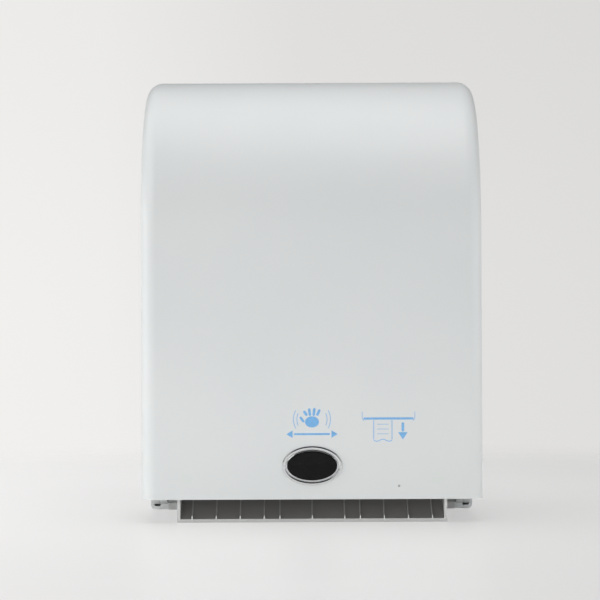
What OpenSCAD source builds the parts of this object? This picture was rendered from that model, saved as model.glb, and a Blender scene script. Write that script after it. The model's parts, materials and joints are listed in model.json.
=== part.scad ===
// Automatic roll towel dispenser with a swing-down cover and a motor-driven feed.
// X runs to the right, Y to the wall and Z up. The base plane is z = 0.

/* [Housing] */
// Width over the cover
body_w = 300; // [292:1:330]
// Height from the base to the top
body_h = 397; // [385:1:440]
// Depth from the wall to the front face
body_d = 235; // [229:1:260]
// Depth of the rear housing
house_d = 98; // [95:1:103]
// Radius of the long moulded edges
corner_r = 14; // [8:1:20]
// Wall of the front cover
cover_wall = 2.8; // [2:0.1:3.5]
// Gap between the cover and the housing
cover_gap = 0.3; // [0.2:0.1:0.5]
// Height of the cover's lower edge above the base
cover_rise = 20.5; // [19.5:0.5:24]
// Plate of the housing that lies on the wall
back_wall = 3.2; // [2.5:0.1:4]

/* [Wall screws] */
// Distance between the wall screws, side to side
screw_pitch_x = 180; // [150:1:190]
// Distance between the wall screws, up and down
screw_pitch_z = 250; // [200:1:260]
// Radius of the wall screw holes
screw_hole_r = 2.75; // [2:0.05:3]
// Height of the screw pattern's centre
screw_mid_z = 205; // [200:1:220]

/* [Cover hinge and lock] */
// Radius of the hinge pins
hinge_r = 3; // [2:0.1:3.5]
// Height of the hinge pins
hinge_z = 13; // [12:0.5:14]
// Radius of the hinge eyes
hinge_eye_r = 7; // [6:0.1:7.5]
// Distance of the hinge pins in front of the housing
hinge_setback = 10; // [9:0.5:12]
// Radius of the lock barrel
lock_r = 8; // [6:0.1:9]
// Distance of the lock in front of the housing
lock_setback = 15; // [14:0.5:17]
// Reach of the lock cam
cam_reach = 28; // [27:0.5:29]

/* [Sensor] */
// Width of the sensor bezel
bezel_w = 53.3; // [48:0.1:58]
// Height of the sensor bezel
bezel_h = 35; // [31:0.1:38]
// Width of the ring round the window
bezel_ring = 4.7; // [4:0.1:5.5]
// Height of the bezel's dome in front of the cover
bezel_rise = 1.8; // [1.2:0.1:2.4]
// Height of the sensor's centre
sensor_z = 50; // [47:0.5:54]
// Place of the indicator to the right of the middle
indicator_x = 76; // [60:1:80]
// Height of the indicator
indicator_z = 32; // [31:0.5:36]
// Radius of the indicator
indicator_r = 1.1; // [0.8:0.1:1.5]

/* [Towel exit] */
// Width of the frame round the towel exit
chute_w = 237; // [234:1:240]
// Wall of the exit frame
chute_wall = 2.7; // [2:0.1:3.2]
// Thickness of the base tray
tray_t = 2.4; // [2:0.1:2.6]
// Distance of the exit's lip behind the cover's front
lip_setback = 5.5; // [5.5:0.1:7]
// Height of the lip
lip_h = 3; // [2.8:0.1:3.6]
// Rise of the gussets over the lip
gusset_rise = 3; // [2:0.1:4]
// Backward lean of the lip's face
lip_lean = 1.9; // [0:0.1:1.9]
// Rise of the guide's ramp
ramp_rise = 16.5; // [14:0.5:17]
// Length of the guide's ramp
ramp_run = 34; // [32:0.5:36]
// Distance of the ramp's crest behind its foot
crest_run = 24; // [20:0.5:28]
// Thickness of the chute guide
guide_t = 2; // [1.6:0.1:2.4]
// Height of the ribs on the guide
rib_h = 1.5; // [1:0.1:2]
// Thickness of the ribs on the guide
rib_t = 1.2; // [1:0.1:1.6]
// Distance between the outer ribs
rib_pitch = 21.1; // [20:0.1:21.5]

/* [Feed rollers] */
// Width of the towel that the feed takes
towel_w = 203; // [195:1:205]
// Distance of the drive shaft behind the front face
drive_depth = 65.5; // [65:0.5:68]
// Height of the drive shaft
drive_z = 62; // [60:0.5:64]
// Radius of the drive shaft
shaft_r = 4; // [3:0.1:4.5]
// Outer radius of the drive sleeves
sleeve_r = 13; // [12:0.1:13.5]
// Length of each sleeve and pinch roller
sleeve_len = 42; // [30:1:50]
// Distance from the towel's edge to the outer sleeves
sleeve_inset = 10.5; // [6:0.5:20]
// Radius of the pinch rollers
pinch_r = 9; // [8:0.1:9.5]
// Radius of the pinch shaft
pinch_shaft_r = 3; // [2:0.1:3.5]
// Space left for the towel between the rollers
nip = 0.35; // [0.3:0.05:0.5]
// Thickness of the side plates
plate_t = 3; // [2.5:0.1:3.5]
// Height of the feed unit's decks
deck_z = 97; // [95:0.5:100]
// Thickness of the decks
deck_t = 3; // [2:0.1:3.5]

/* [Gears] */
// Gear module
gear_m = 1; // [0.95:0.01:1.02]
// Teeth of the large gears
big_teeth = 45; // [43:1:46]
// Teeth of the small gears
small_teeth = 15; // [14:1:16]
// Width of the gear teeth
gear_w = 5; // [4:0.1:5.5]
// Thinning of each tooth for free running
backlash = 0.16; // [0.1:0.01:0.25]
// Radius of the motor
motor_r = 14; // [12:0.1:14.5]
// Length of the motor
motor_len = 38; // [32:1:42]

/* [Towel roll holder] */
// Height of the roll's centre above the start of the curved top
roll_rise = 2; // [0:1:6]
// Distance of the roll's centre behind the front face
roll_depth = 129.5; // [126:0.5:132]
// Radius of the hub noses, for the roll's core
hub_r = 18; // [15:0.5:19]
// Length of the hub noses
hub_len = 15; // [10:1:18]
// Thickness of the roll arms
arm_t = 4; // [3:0.1:5]
// Radius of the arm pins
arm_pin_r = 2.5; // [2:0.1:3]

/* [Power] */
// Radius of a cell
cell_r = 16.9; // [16:0.1:17]
// Length of a cell
cell_len = 61; // [58:0.5:61.5]
// Wall of the battery box
box_wall = 2; // [1.6:0.1:2.2]

/* [Fits] */
// Clearance round turning and sliding pieces
running_gap = 0.05; // [0.03:0.01:0.08]
// Clearance between neighbouring bodies
side_gap = 0.3; // [0.3:0.05:0.5]

/* [Hidden] */

// Shades of the pieces
shell_shade = [0.86, 0.88, 0.88];
frame_shade = [0.80, 0.81, 0.81];
dark_shade = [0.25, 0.26, 0.27];
steel_shade = [0.66, 0.67, 0.69];
chrome_shade = [0.85, 0.86, 0.88];
rubber_shade = [0.14, 0.14, 0.15];
board_shade = [0.10, 0.36, 0.22];
gear_shade = [0.90, 0.89, 0.84];
brass_shade = [0.75, 0.62, 0.35];
bronze_shade = [0.72, 0.52, 0.30];
button_shade = [0.30, 0.52, 0.78];
cell_shade = [0.30, 0.32, 0.36];
lead_shade = [0.55, 0.12, 0.10];

// Main planes
cover_d = body_d - house_d;
wall_y = (body_d + bezel_rise) / 2;
front_y = wall_y - body_d;
part_y = front_y + cover_d;
inner_front_y = front_y + cover_wall;
half_w = body_w / 2;
arc_z = body_h - cover_d;
house_wall = cover_wall + cover_gap;
house_y = part_y + cover_gap;
back_y = wall_y - back_wall;
base_r = 4;
arc_steps = 8;

// Hinge of the cover
hinge_y = part_y - hinge_setback;
ear_x1 = half_w - cover_wall;
ear_t = 6;
ear_x0 = ear_x1 - ear_t;
ear_top = cover_rise + 22;
lug_x1 = ear_x0 - side_gap;
lug_t = 7;
lug_x0 = lug_x1 - lug_t;
boss_x = half_w - 40;
boss_z = 39;
boss_end = inner_front_y + 2.2;

// Lock on the cover
lock_y = part_y - lock_setback;
lock_boss_r = lock_r + 4;
lock_sink = pow(lock_setback + lock_boss_r, 2) / (2 * cover_d) + 0.3;
lock_top = body_h - lock_sink;
lock_flange = 1.4;
lock_seat = body_h - 8;
lock_nut_t = 4;
lock_under = body_h - 18;
cam_z = body_h - 20.4;
cam_t = 2;
cam_w = 5;
strike_y = lock_y + 17.6;
strike_t = 2;
strike_half = 22;

// Exit
tray_front = front_y + lip_setback;
tray_half = chute_w / 2;
tab_end = part_y + 14;
tab_half = 11;
step_half = 101;
step_top = house_wall + 3;
sill_h = 13;
sill_t = 2.2;
wing_h = 6.7;
wing_r = 3;
tray_screw_x = step_half - tab_half;
tray_screw_y = [part_y - 6, part_y + 8];
tray_screw_r = 1.6;
guide_half = tray_half - chute_wall;
guide_front = tray_front + 2;
ramp_foot = guide_front + 1;
ramp_top_y = ramp_foot + ramp_run;
ramp_top_z = lip_h + ramp_rise;
crest_y = ramp_foot + crest_run;
crest_z = ramp_top_z - 0.5;
knee_y = ramp_foot + crest_run / 2;
knee_z = lip_h + 0.4 * (crest_z - lip_h);
rib_places = [0, 28.5, 2 * rib_pitch, 3 * rib_pitch, 4 * rib_pitch, 5 * rib_pitch];
web_places = [guide_half - 70, guide_half - 20];
throat_r = 16;

// Feed unit
drive_y = front_y + drive_depth;
pinch_y = drive_y - sleeve_r - pinch_r - nip;
plate_in = towel_w / 2 + 4.5;
plate_out = plate_in + plate_t;
hood_t = 3;
hood_y = front_y + 11.5;
hood_back = hood_y + hood_t;
hood_foot = cover_rise + 4;
slot_front = pinch_y - 6;
slot_rear = drive_y - 4;
carrier_y = pinch_y - 8;
carrier_z = deck_z - 9;
carrier_half = plate_in - 3;
carrier_t = 4;
carrier_r = 5.5;
pivot_r = 3;
sleeve_pitch = towel_w / 2 - sleeve_inset - sleeve_len / 2;

// Hood: its screws, board, button, selectors and leads
hood_screw_x = plate_in - 4;
hood_screw_z = [hood_foot + 10, deck_z - 20];
hood_screw_r = 1.5;
board_y = hood_back + 3;
board_t = 1.6;
board_half = hood_screw_x - 10;
board_over = 8;
board_under = 10;
board_foot = 5;
chip_x = -20;
chip_w = 24;
chip_h = 10;
chip_t = 2.8;
driver_x = 20;
driver_w = 14;
driver_h = 6;
driver_t = 2;
button_x = board_half - 12;
button_z = deck_z - 15;
button_r = 5;
button_stroke = 1.2;
selector_x = [12 - board_half, 42 - board_half];
slider_w = 5;
slider_travel = 3.5;
lead_y = hood_back + 9;
lead_z = 60;
lead_x = plate_out + 4;
lead_end = board_half - 3;
lead_r = 1;
lead_gap = 3;

// Tear bar: one tooth for each step
tear_pitch = 2.5;
tear_half = towel_w / 2;
tear_t = 0.8;
tear_y = hood_back + 5;
tear_top = hood_foot + 5;
tear_screw_x = [21.5 - tear_half, 0, tear_half - 21.5];
tear_screw_z = hood_foot + 2.5;
tear_screw_r = 1.2;

// Gear train
pitch_big = gear_m * big_teeth / 2;
pitch_small = gear_m * small_teeth / 2;
centres = pitch_big + pitch_small;
idler_y = drive_y + centres * cos(10);
idler_z = drive_z + centres * sin(10);
motor_y = idler_y + centres * cos(20);
motor_z = idler_z - centres * sin(20);
idler_r = 3;
rotor_r = 1.5;
inner_gear_x = -(plate_out + 1.2);
outer_gear_x = inner_gear_x - gear_w - 1;
plate_rear = motor_y + motor_r + 6;

// Battery box
box_half = cell_len + 6.5;
lane = 2 * cell_r + 2.2;
box_y1 = back_y - 0.1;
box_y0 = box_y1 - 2 * lane - 3 * box_wall;
box_top = house_wall + box_wall + 2 * cell_r + 3;
cell_z = house_wall + box_wall + cell_r;
cell_rows = [box_y0 + box_wall + lane / 2, box_y1 - box_wall - lane / 2];
door_t = 2.5;
door_setback = 3.9;
door_pin_r = 1.5;
door_pin_y = box_y1 - 5;
door_pin_z = box_top + 3.6;
lug_pitch = 50;

// Roll holder
roll_y = front_y + roll_depth;
roll_z = arc_z + roll_rise;
core_x = towel_w / 2 + 1;
flange_t = 3;
arm_x0 = core_x + flange_t + 9;
arm_x1 = arm_x0 + arm_t;
arm_pin_x = arm_x0 + arm_t / 2;
arm_pin_y = back_y - 12.5;
knuckle_r = 6;
arm_low = roll_z - 16;
arm_high = roll_z + 16;

// Points along an arc
function arc(cx, cy, r, a0, a1, n = arc_steps) =
  [for (i = [0:n]) [cx + r * cos(a0 + (a1 - a0) * i / n), cy + r * sin(a0 + (a1 - a0) * i / n)]];

// Points of an ellipse
function oval(a, b, n = 64) = [for (i = [0:n - 1]) [a * cos(360 * i / n), b * sin(360 * i / n)]];

// A YZ outline drawn out along X
module along_x(x0, x1) {
  translate([x0, 0, 0]) rotate([90, 0, 90]) linear_extrude(x1 - x0) children();
}

// An XZ outline drawn out along Y
module along_y(y0, y1) {
  translate([0, y1, 0]) rotate([90, 0, 0]) linear_extrude(y1 - y0) children();
}

// Round bars along each direction
module rod_x(y, z, r, x0, x1) {
  translate([x0, y, z]) rotate([0, 90, 0]) cylinder(r = r, h = x1 - x0, $fn = 48);
}

module rod_y(x, z, r, y0, y1) {
  translate([x, y0, z]) rotate([-90, 0, 0]) cylinder(r = r, h = y1 - y0, $fn = 48);
}

module rod_z(x, y, r, z0, z1) {
  translate([x, y, z0]) cylinder(r = r, h = z1 - z0, $fn = 48);
}

// A block between two corners
module block(low, high) {
  translate(low) cube(high - low);
}

// Children at the left and the right
module both_sides() {
  children();
  mirror([1, 0, 0]) children();
}

// Outline of the cover in plan: x across, y the depth from the parting plane
module cover_plan() {
  ri = corner_r - cover_wall;
  cx = half_w - corner_r;
  cy = cover_d - corner_r;
  polygon(concat([[half_w, 0]], arc(cx, cy, corner_r, 0, 90), arc(-cx, cy, corner_r, 90, 180),
    [[-half_w, 0], [-half_w + cover_wall, 0]], arc(-cx, cy, ri, 180, 90), arc(cx, cy, ri, 90, 0),
    [[half_w - cover_wall, 0]]));
}

// Outline of the housing seen from the front, drawn in by a distance
module housing_outline(inset) {
  rt = corner_r - inset;
  rb = max(base_r - inset, 1);
  x = half_w - inset;
  top = body_h - inset;
  polygon(concat(arc(x - rt, top - rt, rt, 0, 90), arc(-x + rt, top - rt, rt, 90, 180),
    arc(-x + rb, inset + rb, rb, 180, 270), arc(x - rb, inset + rb, rb, 270, 360)));
}

// An eye with a stem up or back, in the YZ plane
module eye_up(y, z, r, top) {
  polygon(concat(arc(y, z, r, 180, 360, 16), [[y + r, top], [y - r, top]]));
}

module eye_back(y, z, r, rear) {
  polygon(concat(arc(y, z, r, 90, 270, 16), [[rear, z - r], [rear, z + r]]));
}

// A helical spring wire with its axis on Z: one ring of 8 points for each step
module coil(r, wire, height, turns, r_top) {
  steps = turns * 14;
  sides = 8;
  points = [for (i = [0:steps]) let (t = i / steps, a = 360 * turns * t, rr = r + (r_top - r) * t)
    for (j = [0:sides - 1]) let (b = 360 * j / sides)
      [(rr + wire * cos(b)) * cos(a), (rr + wire * cos(b)) * sin(a), height * t + wire * sin(b)]];
  skin = [for (i = [0:steps - 1]) for (j = [0:sides - 1]) let (k = (j + 1) % sides)
    [i * sides + j, i * sides + k, (i + 1) * sides + k, (i + 1) * sides + j]];
  start = [for (j = [0:sides - 1]) sides - 1 - j];
  end = [for (j = [0:sides - 1]) steps * sides + j];
  polyhedron(points, concat([start], [for (f = skin) [f[3], f[2], f[1], f[0]]], [end]));
}

// Rear housing with its rim, hinge lugs, screw holes and arm knuckles
module rear_housing() {
  color(shell_shade) difference() {
    union() {
      difference() {
        along_y(house_y, wall_y) housing_outline(0);
        along_y(house_y - 1, back_y) housing_outline(house_wall);
      }
      housing_rim();
      housing_ribs();
      both_sides() housing_lug();
      both_sides() block([step_half + side_gap, house_y, 1], [lug_x0 + 1, house_y + sill_t, sill_h]);
      both_sides() arm_knuckles();
      for (x = [-1, 1], z = [-1, 1])
        rod_y(x * screw_pitch_x / 2, screw_mid_z + z * screw_pitch_z / 2, 8, back_y - 1.5, back_y + 1);
    }
    for (x = [-1, 1], z = [-1, 1])
      rod_y(x * screw_pitch_x / 2, screw_mid_z + z * screw_pitch_z / 2, screw_hole_r, back_y - 5, wall_y + 1);
    both_sides() rod_x(hinge_y, hinge_z, hinge_r, lug_x0 - 1, lug_x1 + 1);
    both_sides() rod_z(arm_pin_x, arm_pin_y, arm_pin_r, arm_low - 15, arm_high + 15);
    both_sides() rod_z(tray_screw_x, tray_screw_y[1], tray_screw_r, -1, house_wall + 1);
  }
}

// Thin rim that the cover closes over, open at the hinge ears and at the lock
module housing_rim() {
  rim_t = 1.8;
  difference() {
    along_y(part_y - 5, part_y + 10) difference() {
      housing_outline(house_wall);
      housing_outline(house_wall + rim_t);
    }
    block([-body_w, part_y - 20, -1], [body_w, part_y + 30, ear_top + 2]);
    block([-strike_half - 1, part_y - 20, cam_z], [strike_half + 1, part_y + 30, body_h]);
  }
}

// Stiffening ribs on the inside of the back
module housing_ribs() {
  rib = 1.2;
  for (s = [-1, 0, 1]) translate([s * half_w * 0.4, 0, 0])
    block([-1, back_y - rib, 120], [1, back_y + 0.5, body_h - 10]);
  for (z = [130, 190, 300])
    block([-half_w + 2, back_y - rib, z - 1], [half_w - 2, back_y + 0.5, z + 1]);
}

// Hinge lug at the lower right corner
module housing_lug() {
  along_x(lug_x0, lug_x1) eye_back(hinge_y, hinge_z, hinge_eye_r, part_y + 6);
  block([lug_x0, house_y, 1], [lug_x1, part_y + 6, hinge_z]);
}

// The two knuckles that hold a roll arm's pin
module arm_knuckles() {
  for (z = [arm_low - 10.3, arm_high + 0.3]) {
    rod_z(arm_pin_x, arm_pin_y, knuckle_r, z, z + 10);
    block([arm_pin_x - 3, arm_pin_y, z], [arm_pin_x + 3, back_y + 1, z + 10]);
  }
}

// Strike plate that hangs from the housing's top, and that the lock cam turns in behind
module strike_plate() {
  bar_z = cam_z + cam_t + 3;
  top = body_h - house_wall;
  color(steel_shade) union() {
    block([-strike_half, strike_y, cam_z - 5], [-cam_w / 2 - 1, strike_y + strike_t, top]);
    block([-strike_half, strike_y, bar_z], [strike_half, strike_y + strike_t, top]);
    block([-strike_half, strike_y, top - 1.6], [strike_half, strike_y + 12, top]);
  }
}

// Front cover: straight lower part, curved top, ears, bosses and holes
module front_cover() {
  color(shell_shade) difference() {
    union() {
      translate([0, part_y, cover_rise]) linear_extrude(arc_z - cover_rise) mirror([0, 1]) cover_plan();
      translate([0, part_y, arc_z]) rotate([90, 0, 0]) rotate([90, 0, 90])
        rotate_extrude(angle = 90, $fn = 96) mirror([1, 0]) rotate(90) cover_plan();
      both_sides() along_x(ear_x0, ear_x1 + 0.5) intersection() {
        eye_up(hinge_y, hinge_z, hinge_eye_r, ear_top);
        translate([hinge_y - 20, -1]) square([40, 60]);
      }
      both_sides() rod_y(boss_x, boss_z, 6, inner_front_y - 0.5, boss_end);
      cover_ribs();
      rod_z(0, lock_y, lock_boss_r, lock_seat, lock_top);
    }
    along_y(front_y - 1, front_y + 10) translate([0, sensor_z])
      polygon(oval(bezel_w / 2 - 2, bezel_h / 2 - 2));
    rod_y(indicator_x, indicator_z, indicator_r, front_y - 1, front_y + 8);
    both_sides() rod_x(hinge_y, hinge_z, hinge_r + running_gap, ear_x0 - 1, half_w + 1);
    rod_z(0, lock_y, lock_r, body_h - 20, body_h + 1);
    rod_z(0, lock_y, lock_r + 2.5, lock_top - lock_flange, body_h + 1);
    both_sides() block([ear_x1, hinge_y - 20, -1], [half_w + 1, part_y + 1, cover_rise]);
  }
}

// Stiffening ribs inside the cover's side walls
module cover_ribs() {
  rib = 1;
  both_sides() for (z = [90, 150, 210])
    block([ear_x1 - rib, inner_front_y + 10, z - 1], [ear_x1 + 0.5, part_y - 12, z + 1]);
}

module hinge_pins() {
  color(steel_shade) both_sides() rod_x(hinge_y, hinge_z, hinge_r, lug_x0, ear_x1 - 0.2);
}

// Lock barrel with its flange, key slot and square end
module lock_barrel() {
  color(chrome_shade) difference() {
    union() {
      rod_z(0, lock_y, lock_r - running_gap, lock_under + 0.5, lock_top);
      rod_z(0, lock_y, lock_r + 2.2, lock_top - lock_flange, lock_top);
      block([-4, lock_y - 4, cam_z], [4, lock_y + 4, lock_under + 1]);
    }
    block([-1.2, lock_y - 5, lock_top - 5], [1.2, lock_y + 5, lock_top + 1]);
  }
}

// Ring nut that holds the lock barrel's sleeve from below
module lock_nut() {
  color(steel_shade) difference() {
    translate([0, lock_y, lock_seat - lock_nut_t]) cylinder(r = lock_r + 5, h = lock_nut_t, $fn = 6);
    rod_z(0, lock_y, lock_r, lock_seat - lock_nut_t - 1, lock_seat + 1);
  }
}

// Hooked cam, shown unlocked and pointing to the right
module lock_cam() {
  hook_w = 5.5;
  color(steel_shade) difference() {
    union() {
      rod_z(0, lock_y, lock_r, cam_z, cam_z + cam_t);
      block([0, lock_y - cam_w / 2, cam_z], [cam_reach - hook_w / 2, lock_y + cam_w / 2, cam_z + cam_t]);
      translate([0, lock_y, cam_z]) rotate(-5) rotate_extrude(angle = 25, $fn = 96)
        translate([cam_reach - hook_w, 0]) square([hook_w, cam_t]);
    }
    block([-4, lock_y - 4, cam_z - 1], [4, lock_y + 4, cam_z + cam_t + 1]);
  }
}

// Chrome ring in the cover: a domed rim in front and a short sleeve through the hole
module sensor_bezel() {
  a = bezel_w / 2;
  b = bezel_h / 2;
  step = bezel_rise / 4;
  color(chrome_shade) difference() {
    union() {
      for (s = [0:3])
        bezel_step(front_y - step * (s + 1), front_y - step * s, 0.35 * pow(s, 1.4));
      along_y(front_y - 0.05, inner_front_y + 1.8) translate([0, sensor_z]) polygon(oval(a - 2, b - 2));
    }
    along_y(front_y - bezel_rise - 1, inner_front_y + 3) translate([0, sensor_z])
      polygon(oval(a - bezel_ring, b - bezel_ring));
  }
}

// One step of the bezel's rim, drawn in by a distance
module bezel_step(y0, y1, inset) {
  along_y(y0, y1) translate([0, sensor_z]) polygon(oval(bezel_w / 2 - inset, bezel_h / 2 - inset));
}

// Dark window seated in the bezel
module sensor_window() {
  color(dark_shade) along_y(front_y - 0.8, inner_front_y + 1.2) translate([0, sensor_z])
    polygon(oval(bezel_w / 2 - bezel_ring, bezel_h / 2 - bezel_ring));
}

module indicator_lens() {
  color(dark_shade) rod_y(indicator_x, indicator_z, indicator_r, front_y, inner_front_y + 1);
}

// Magnet on the cover's right boss, which tells the board that the cover is closed
module lid_magnet() {
  color(steel_shade) rod_y(boss_x, boss_z, 4, boss_end, boss_end + 1.2);
}

// Base tray: floor, side walls, lip, gussets, rear wings and the tabs that lie on the housing's floor
module base_tray() {
  color(frame_shade) difference() {
    union() {
      block([-tray_half, tray_front, 0], [tray_half, part_y, tray_t]);
      block([-tray_half, tray_front, 0], [tray_half, tray_front + 2, lip_h]);
      block([-step_half, part_y - 12, tray_t - 0.01], [step_half, part_y, step_top]);
      both_sides() block([step_half - 2 * tab_half, part_y - 0.01, house_wall],
        [step_half, tab_end, step_top]);
      both_sides() tray_side();
      both_sides() tray_wing();
      for (x = rib_places) both_sides() tray_gusset(x);
    }
    for (y = tray_screw_y) both_sides() rod_z(tray_screw_x, y, tray_screw_r, -1, step_top + 1);
    along_x(-half_w, half_w) polygon([[tray_front - 1, -1], [tray_front + lip_lean, -1],
      [tray_front + lip_lean, 0], [tray_front, lip_h - 0.4], [tray_front - 1, lip_h - 0.4]]);
  }
}

// Side wall of the exit frame
module tray_side() {
  along_x(guide_half, tray_half) polygon([[tray_front, 0], [part_y, 0], [part_y, tray_t + 9],
    [tray_front + 30, cover_rise - 0.5], [tray_front, cover_rise - 0.5]]);
}

// Wing that closes the gap between the exit frame and the hinge lug
module tray_wing() {
  x1 = lug_x0 - 0.4;
  r = min(wing_r, (x1 - guide_half) / 2);
  along_y(part_y - 3, part_y) polygon(concat([[guide_half, 0], [x1, 0]],
    arc(x1 - r, wing_h - r, r, 0, 90), [[guide_half, wing_h]]));
}

// Small pointed gusset between the lip and a rib's foot
module tray_gusset(x) {
  along_y(tray_front + 0.6, tray_front + 2) translate([x, lip_h]) polygon([[-rib_t * 0.7, -0.5],
    [rib_t * 0.7, -0.5], [rib_t * 0.2, gusset_rise], [-rib_t * 0.2, gusset_rise]]);
}

// Screws through the tray's step and tabs
module tray_screws() {
  color(steel_shade) for (x = [-1, 1], y = tray_screw_y) {
    rod_z(x * tray_screw_x, y, tray_screw_r, 0.5, step_top + 0.5);
    rod_z(x * tray_screw_x, y, 2 * tray_screw_r, step_top, step_top + 2);
  }
}

// Ribbed ramp with a hollow face, and the curved throat above it
module chute_guide() {
  color(dark_shade) union() {
    along_x(-guide_half, guide_half) ramp_section(0, guide_t);
    along_x(-plate_in + side_gap, plate_in - side_gap) throat_section();
    for (x = rib_places) both_sides() along_x(x - rib_t / 2, x + rib_t / 2) ramp_section(rib_h, guide_t);
    for (x = web_places) both_sides() along_x(x - 1, x + 1)
      polygon([[ramp_foot, tray_t], [ramp_top_y, tray_t], [ramp_top_y, ramp_top_z - guide_t / 2],
        [crest_y + guide_t / 2, crest_z - guide_t / 2], [knee_y + guide_t / 2, knee_z - guide_t / 2],
        [ramp_foot, lip_h]]);
    block([-guide_half, guide_front, tray_t], [guide_half, ramp_foot + 1, lip_h]);
  }
}

// The ramp in section, raised by a rib's height
module ramp_section(raise, thick) {
  foot_slope = (knee_z - lip_h) / (knee_y - guide_front);
  polygon([[guide_front, lip_h - min(thick, lip_h - tray_t)], [knee_y + thick / 2, knee_z - thick],
    [crest_y + thick / 2, crest_z - thick], [ramp_top_y, ramp_top_z - thick],
    [ramp_top_y, ramp_top_z + raise], [crest_y, crest_z + raise], [knee_y, knee_z + raise],
    [guide_front + raise, lip_h + raise * (1 + foot_slope)], [guide_front, lip_h]]);
}

// The curved throat that leads the towel from the rollers to the ramp
module throat_section() {
  slope = atan2(ramp_top_z - crest_z, ramp_top_y - crest_y);
  cy = ramp_top_y - throat_r * sin(slope);
  cz = ramp_top_z + throat_r * cos(slope);
  low = slope - 98;
  polygon(concat(arc(cy, cz, throat_r, low, -6, 8), arc(cy, cz, throat_r + guide_t, -6, low, 8)));
}

// Outline of a side plate in the YZ plane
module plate_outline() {
  fy = hood_back;
  foot_y = ramp_top_y + 8;
  polygon([[fy, hood_foot], [foot_y, hood_foot], [foot_y + 6, tray_t], [part_y - 13, tray_t],
    [part_y - 13, tray_t + 6], [plate_rear, tray_t + 14], [plate_rear, deck_z], [fy, deck_z]]);
}

// Side plate with its bores
module side_plate(left) {
  difference() {
    along_x(plate_in, plate_out) plate_outline();
    rod_x(drive_y, drive_z, shaft_r + 3, plate_in - 1, plate_out + 1);
    rod_x(carrier_y, carrier_z, pivot_r + running_gap, plate_in - 1, plate_out + 1);
    if (!left) rod_x(lead_y - lead_gap / 2, lead_z - lead_gap / 2, lead_gap / sqrt(2) + lead_r + 1.3,
      plate_in - 1, plate_out + 1);
    if (left) {
      rod_x(idler_y, idler_z, idler_r, plate_in - 1, plate_out + 1);
      rod_x(motor_y, motor_z, 6, plate_in - 1, plate_out + 1);
      for (s = [-1, 1]) rod_x(motor_y, motor_z + s * 9, 1.5, plate_in - 1, plate_out + 1);
    }
  }
}

module side_plate_left() {
  color(frame_shade) mirror([1, 0, 0]) side_plate(true);
}

module side_plate_right() {
  color(frame_shade) side_plate(false);
}

// Hood over the front of the feed unit, with the openings for sensor, button and selectors
module front_hood() {
  color(frame_shade) difference() {
    union() {
      block([-plate_out, hood_y, hood_foot], [plate_out, hood_back, deck_z + deck_t]);
      block([-plate_out, hood_back - 0.5, deck_z], [plate_out, slot_front, deck_z + deck_t]);
      along_x(-plate_in + 1, plate_in - 1) polygon([[slot_front - 2, deck_z], [slot_front, deck_z],
        [slot_front, deck_z - 2]]);
      block([-plate_in + 0.1, hood_back - 0.5, hood_foot], [plate_in - 0.1, tear_y, tear_top]);
    }
    for (x = tear_screw_x) rod_y(x, tear_screw_z, tear_screw_r, tear_y - 4.5, tear_y + 1);
    along_y(hood_y - 1, hood_back + 1) translate([0, sensor_z])
      polygon(oval(bezel_w / 2 - 4, bezel_h / 2 - 4));
    rod_y(button_x, button_z, button_r + side_gap, hood_y - 1, hood_back + 1);
    for (x = selector_x) block([x - slider_w / 2 - slider_travel - side_gap, hood_y - 1, button_z - 2.3],
      [x + slider_w / 2 + slider_travel + side_gap, hood_back + 1, button_z + 2.3]);
    for (x = [-1, 1], z = hood_screw_z) rod_y(x * hood_screw_x, z, hood_screw_r, hood_y - 1, hood_back + 8);
  }
}

// Deck behind the towel slot, with a rounded front edge
module rear_deck() {
  mid = deck_z + deck_t / 2;
  color(frame_shade) union() {
    along_x(-plate_out, plate_out) polygon(concat([[plate_rear, deck_z], [plate_rear, deck_z + deck_t]],
      arc(slot_rear + deck_t / 2, mid, deck_t / 2, 90, 270, 8)));
    for (s = [-1:0.5:1]) translate([s * (plate_in - 26), 0, 0])
      block([-1, slot_rear + 6, deck_z + deck_t - 0.01], [1, plate_rear - 6, deck_z + deck_t + 1.5]);
    for (x = [-plate_in + 0.3, plate_in - 2.3])
      block([x, plate_rear - 30, deck_z - 6], [x + 2, plate_rear - 4, deck_z]);
  }
}

// Threaded posts on the side plates that the hood is screwed to
module hood_posts() {
  color(steel_shade) both_sides() for (z = hood_screw_z) difference() {
    block([hood_screw_x - 4, hood_back, z - 4], [plate_in, hood_back + 6, z + 4]);
    rod_y(hood_screw_x, z, hood_screw_r, hood_back - 1, hood_back + 7);
  }
}

module hood_screws() {
  color(steel_shade) for (x = [-1, 1], z = hood_screw_z) {
    rod_y(x * hood_screw_x, z, hood_screw_r, hood_y - 0.5, hood_back + 6);
    rod_y(x * hood_screw_x, z, 2 * hood_screw_r, hood_y - 1.6, hood_y);
  }
}

// Serrated tear bar under the hood
module tear_bar() {
  count = floor(2 * tear_half / tear_pitch);
  edge = [for (i = [0:count - 1]) for (p = [0, 1])
    [-tear_half + (i + p * 0.5) * tear_pitch, p == 0 ? cover_rise + 2.5 : cover_rise + 0.6]];
  color(steel_shade) difference() {
    along_y(tear_y, tear_y + tear_t)
      polygon(concat(edge, [[tear_half, cover_rise + 2.5], [tear_half, tear_top], [-tear_half, tear_top]]));
    for (x = tear_screw_x) rod_y(x, tear_screw_z, tear_screw_r, tear_y - 1, tear_y + 2);
  }
}

module tear_bar_screws() {
  color(steel_shade) for (x = tear_screw_x) {
    rod_y(x, tear_screw_z, tear_screw_r, tear_y - 4.4, tear_y + tear_t + 1);
    rod_y(x, tear_screw_z, 2.2, tear_y + tear_t, tear_y + tear_t + 1.3);
  }
}

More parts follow.
